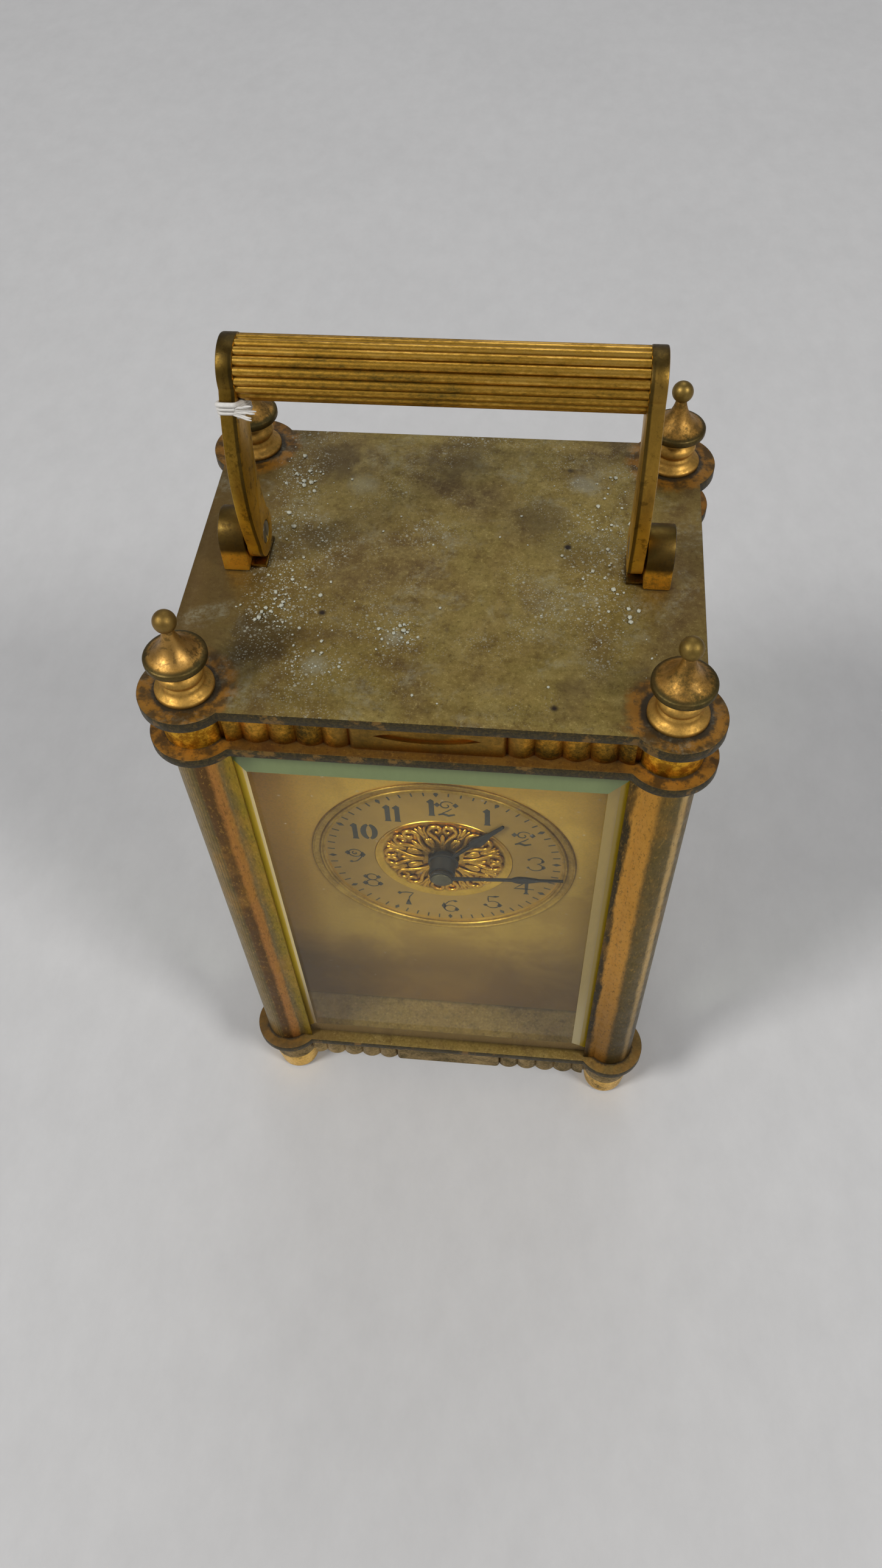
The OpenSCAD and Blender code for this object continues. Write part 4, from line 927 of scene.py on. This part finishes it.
def make_dial_centre(material, low_material):
    """The embossed centre: a smooth outer ring, a bead ring and raised scrollwork."""
    profile = [(13.9, -0.62), (12.98, -0.6), (12.96, 0.0), (12.85, 0.14), (12.6, 0.1), (12.35, -0.08),
               (12.0, -0.25), (11.7, -0.34), (11.4, -0.38), (6, -0.42), (2.95, -0.42), (2.85, -0.62)]
    steps = 96
    verts = [dial_point(r, 360 * i / steps, lift) for r, lift in profile for i in range(steps)]
    faces = flipped(ring_faces(len(profile), steps, capped=False))
    last = (len(profile) - 1) * steps
    for i in range(steps):
        k = (i + 1) % steps
        faces.append((last + i, i, k, last + k))
    base = new_piece("dial_centre_disc", verts, faces, "case", low_material, split=50)
    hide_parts("dial_centre")
    verts, faces = [], []
    count = 8
    for n in range(count):
        mid = 360 / count * n
        for side in (-1, 1):
            outer = [(3.7, 3), (5.6, 5), (7.6, 11), (9.4, 15.5), (10.7, 11), (10.9, 4.5), (9.9, 1.8),
                     (9.0, 5), (9.3, 8.5)]
            curl = [(4.4, 21.5), (5.8, 17.5), (7.0, 19.5), (6.7, 24.5), (5.5, 25.5), (5.0, 21.5)]
            leaf = [(7.6, 21.8), (8.7, 19.8), (9.9, 19.6), (10.9, 17.2)]
            strands = ((outer, -0.1, 0.42), (curl, -0.14, 0.34), (leaf, -0.14, 0.32))
            for points, lift, radius in strands:
                line = smooth_line([dial_point(r, mid + side * a, lift) for r, a in points], 5)
                tube(line, radius, verts, faces, 8, 0.35)
        for turn, points in ((0, ((4.2, -0.26), (5.6, -0.12), (7.0, -0.1), (8.1, -0.22))),
                             (22.5, ((8.4, -0.28), (9.4, -0.12), (10.4, -0.14), (11.2, -0.26)))):
            line = smooth_line([dial_point(r, mid + turn, h) for r, h in points], 4)
            tube(line, 0.46, verts, faces, 8, 0.7)
    new_piece("dial_scrollwork", verts, faces, "case", material, split=70)


def make_lug_feet(material):
    """The low foot of each lug, which shows under the end of the arm."""
    x_in, x_out, y_front, y_back, height, sunk = 28.4, 31.05, -2.9, 3.9, 0.62, 0.02
    outline = [(y_front, 0), (y_back, 0), (y_back, height), (y_front, height)]
    for side, name in ((-1, "left"), (1, "right")):
        verts = [(side * x, PIVOT_Y + y, PLATE_TOP - sunk + z) for x in (x_in, x_out)
                 for y, z in outline]
        faces = ring_faces(2, 4)
        if side < 0:
            faces = flipped(faces)
        new_piece("lug_foot_" + name, verts, faces, "case", material, bevel=0.08)


def make_thread(material):
    """Four turns of cotton round the left arm, with frayed ends at the front."""
    lean = Matrix.Rotation(math.radians(-HANDLE_LEAN), 4, "X")
    place = Matrix.Translation((0, PIVOT_Y, PIVOT_Z)) @ lean
    arm_x, half_x, half_y = -29.5, 1.45, 3.82
    bow_y, height, tilt = -1.95, 22.95, math.radians(20)
    turns, pitch, thread_r, frayed_r = 4, 0.7, 0.37, 0.19
    verts, faces = [], []
    random.seed(11)

    def arm_frame(u, v, w):
        """u across the arm, v from its front to its back, w along it."""
        y = bow_y + v * math.cos(tilt) - w * math.sin(tilt)
        z = height + w * math.cos(tilt) - v * math.sin(tilt)
        return tuple(place @ Vector((arm_x + u, y, z)))

    for turn in range(turns):
        w = (turn - (turns - 1) / 2) * pitch
        points = []
        for i in range(41):
            a = 2 * math.pi * i / 40
            c, s = math.cos(a), math.sin(a)
            u = half_x * math.copysign(abs(c) ** 0.35, c)
            v = half_y * math.copysign(abs(s) ** 0.35, s)
            points.append(arm_frame(u, v, w + 0.12 * math.sin(a + turn)))
        tube(points, thread_r, verts, faces, 8)
    for n in range(5):
        spot = Vector((0.5 + 0.2 * n, -half_y - 0.15, -0.7 + 0.3 * n))
        step = Vector((0.62, -0.22, 0.1 * (n - 2)))
        line = [arm_frame(*spot)]
        for i in range(5):
            spot = spot + step + Vector([random.uniform(-0.14, 0.14) for _ in range(3)])
            line.append(arm_frame(*spot))
        tube(smooth_line(line, 3), frayed_r, verts, faces, 6, 0.6)
    piece = new_piece("cotton_thread", verts, faces, "handle", material, split=80)
    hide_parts("cotton_tie")


def make_dust(material):
    """Crumbs of pale grit lying on the top plate, thickest beside the handle's feet."""
    rng = random.Random(5)
    verts, faces = [], []
    shape = bmesh.new()
    bmesh.ops.create_icosphere(shape, subdivisions=1, radius=1.0)
    points = [v.co.copy() for v in shape.verts]
    shape.verts.index_update()
    triangles = [tuple(v.index for v in f.verts) for f in shape.faces]
    shape.free()
    crumbs, half_w, half_d, column_r = 400, 39.5, 31, 5.2
    lug_in, lug_out, lug_half_d = 27.6, 35.6, 4.4
    made = 0
    while made < crumbs:
        x, y, spread_x, spread_y = rng.choice(GRIT_HEAPS)
        if spread_x:
            x, y = rng.gauss(x, spread_x), rng.gauss(y, spread_y)
        else:
            x, y = rng.uniform(-31, 38), rng.uniform(-30, 29)
        on_column = math.hypot(abs(x) - COLUMN_X, abs(y) - COLUMN_Y) < column_r
        on_lug = lug_in < abs(x) < lug_out and abs(y - PIVOT_Y) < lug_half_d
        if abs(x) > half_w or abs(y) > half_d or on_column or on_lug:
            continue
        size = min(0.42, 0.08 + rng.expovariate(12))
        turn = Matrix.Rotation(rng.uniform(0, 6.3), 3, "Z")
        first = len(verts)
        for p in points:
            q = turn @ Vector((p.x * size * rng.uniform(0.7, 1.3), p.y * size * rng.uniform(0.7, 1.3),
                               p.z * size * 0.62))
            verts.append((x + q.x, y + q.y, PLATE_TOP + size * 0.45 + q.z))
        faces.extend(tuple(first + i for i in t) for t in triangles)
        made += 1
    new_piece("top_grit", verts, faces, "case", material, smooth=False)


# ---------------------------------------------------------------- build

make_camera()
make_lights()
make_floor()

steel = simple_metal("aged_steel", (0.33, 0.32, 0.3), 0.38)
blued = simple_metal("blued_steel", (0.032, 0.033, 0.034), 0.45, metallic=0.5)

# The case
dress("top_plate", plate_material("top_tarnish", True, (1.22, 1.1, 0.68), 0.92), 0.22)
dress("upper_rim", plate_material("rim_tarnish", False, (0.84, 0.5, 0.14), 1.0), 0.22)
dress("base_plate", plate_material("base_tarnish", False, (1.32, 1.12, 0.72), 0.25), 0.22)
dress("upper_frieze", frieze_material())
dress("base_skirt", aged_metal(
    "skirt_gilt", (0.42, 0.28, 0.085), (0.27, 0.18, 0.055), (0.11, 0.08, 0.025), worn=0.6,
    reach=2.0, offset=(0.03, 0, 0)))
dress("feet door_knob", aged_metal(
    "foot_gilt", (0.95, 0.6, 0.095), (0.7, 0.42, 0.065), (0.13, 0.085, 0.02), worn=0.5,
    reach=1.5, offset=(0, 0.02, 0)))
dress("door_frame", aged_metal(
    "door_gilt", (0.56, 0.33, 0.06), (0.38, 0.22, 0.036), (0.125, 0.082, 0.018), worn=0.55,
    rough=(0.34, 0.5), reach=0.9, grain=0.5, offset=(0.02, 0, 0.01)), 0.25)
dress("left_glass right_glass door_glass",
      glass_material("side_glass_clear", 0.05, (0.96, 0.975, 0.94), 0.2))
for name, (sx, sy) in CORNERS.items():
    centre = (sx * COLUMN_X, sy * COLUMN_Y)
    dress("column_" + name, column_material("column_gilt_" + name, centre, *COLUMN_LOOKS[name]))
make_finials([finial_material(name, number) for number, name in enumerate(CORNERS)])
# The bevel colours are painted reflections of the columns and of the mask seen through the glass.
make_front_glass([
    glass_material("clear_glass", 0.03),
    bevel_material("bevel_green", (0.185, 0.235, 0.095), 0.0),
    bevel_material("bevel_pale", (0.74, 0.58, 0.24), 0.1, low_tone=(0.25, 0.18, 0.09)),
    bevel_material("bevel_yellow", (0.86, 0.6, 0.055), 0.1, low_tone=(0.34, 0.215, 0.035)),
    bevel_material("bevel_grey", (0.4, 0.29, 0.075), 0.25, low_tone=(0.46, 0.37, 0.16)),
    bevel_material("bevel_olive", (0.4, 0.27, 0.01), 0.1),
    bevel_material("bevel_low", (0.205, 0.14, 0.068), 0.1)])

# The dial and the hands
dress("dial_mask", mask_material())
dress("dial_bezel", aged_metal(
    "bezel_gilt", (0.58, 0.38, 0.078), (0.48, 0.3, 0.058), (0.34, 0.215, 0.046), worn=0.3,
    reach=0.5, hollow=(0.07, 0.045, 0.02), rough=(0.42, 0.58)), split=60)
dress("dial", plain_material("dial_tan", (0.41, 0.25, 0.052), 0.5, 3.0))
dress("minute_hand hour_hand", blued, 0.06)
dress("hand_nut", simple_metal("dark_steel", (0.15, 0.138, 0.09), 0.36, metallic=0.8), 0.05)
make_dial_figures(plain_material("dial_ink", (0.058, 0.054, 0.042), 0.5))
make_dial_centre(aged_metal(
    "centre_gilt", (0.86, 0.5, 0.072), (0.67, 0.37, 0.045), (0.34, 0.18, 0.022), worn=0.35,
    rough=(0.26, 0.44), reach=0.5, hollow=(0.05, 0.024, 0.005)), centre_floor_material())

# The handle
dress("handle_arm_left handle_arm_right", handle_material(), 0.3)
dress("handle_grip", aged_metal(
    "grip_gilt", (0.72, 0.42, 0.08), (0.47, 0.255, 0.034), (0.16, 0.105, 0.022), worn=0.5,
    rough=(0.3, 0.48), reach=0.62, grain=0.4, hollow=(0.045, 0.034, 0.006), grime_and_shade=1.0,
    stretch=(0.4, 1, 1)))
dress("handle_lug_left handle_lug_right", lug_material(), 0.3)
dress("handle_screws", steel, 0.08)
make_lug_feet(aged_metal(
    "lug_foot_gilt", (0.3, 0.165, 0.028), (0.145, 0.085, 0.018), (0.05, 0.034, 0.012),
    worn=0.6, reach=0.8, offset=(0, 0.01, 0.02)))
make_thread(plain_material("cotton_white", (0.74, 0.72, 0.68), 0.9, 0.4))

# The movement
dress("mainspring hairspring", blued)
dress("centre_arbor cannon_pinion winding_arbor ratchet_wheel click pallet_lever regulator "
      "tie_rods door_pins", steel)
dress("front_movement_plate back_movement_plate pillars movement_seats hour_wheel minute_wheel "
      "set_knob winding_key great_wheel centre_wheel third_wheel fourth_wheel escape_wheel "
      "balance_wheel balance_cock",
      simple_metal("movement_brass", (0.6, 0.4, 0.13), 0.34, (0.25, 1, 1)))

make_dust(plain_material("pale_grit", (0.5, 0.51, 0.42), 0.85, 0.4))

bpy.context.scene.view_settings.view_transform = "Standard"
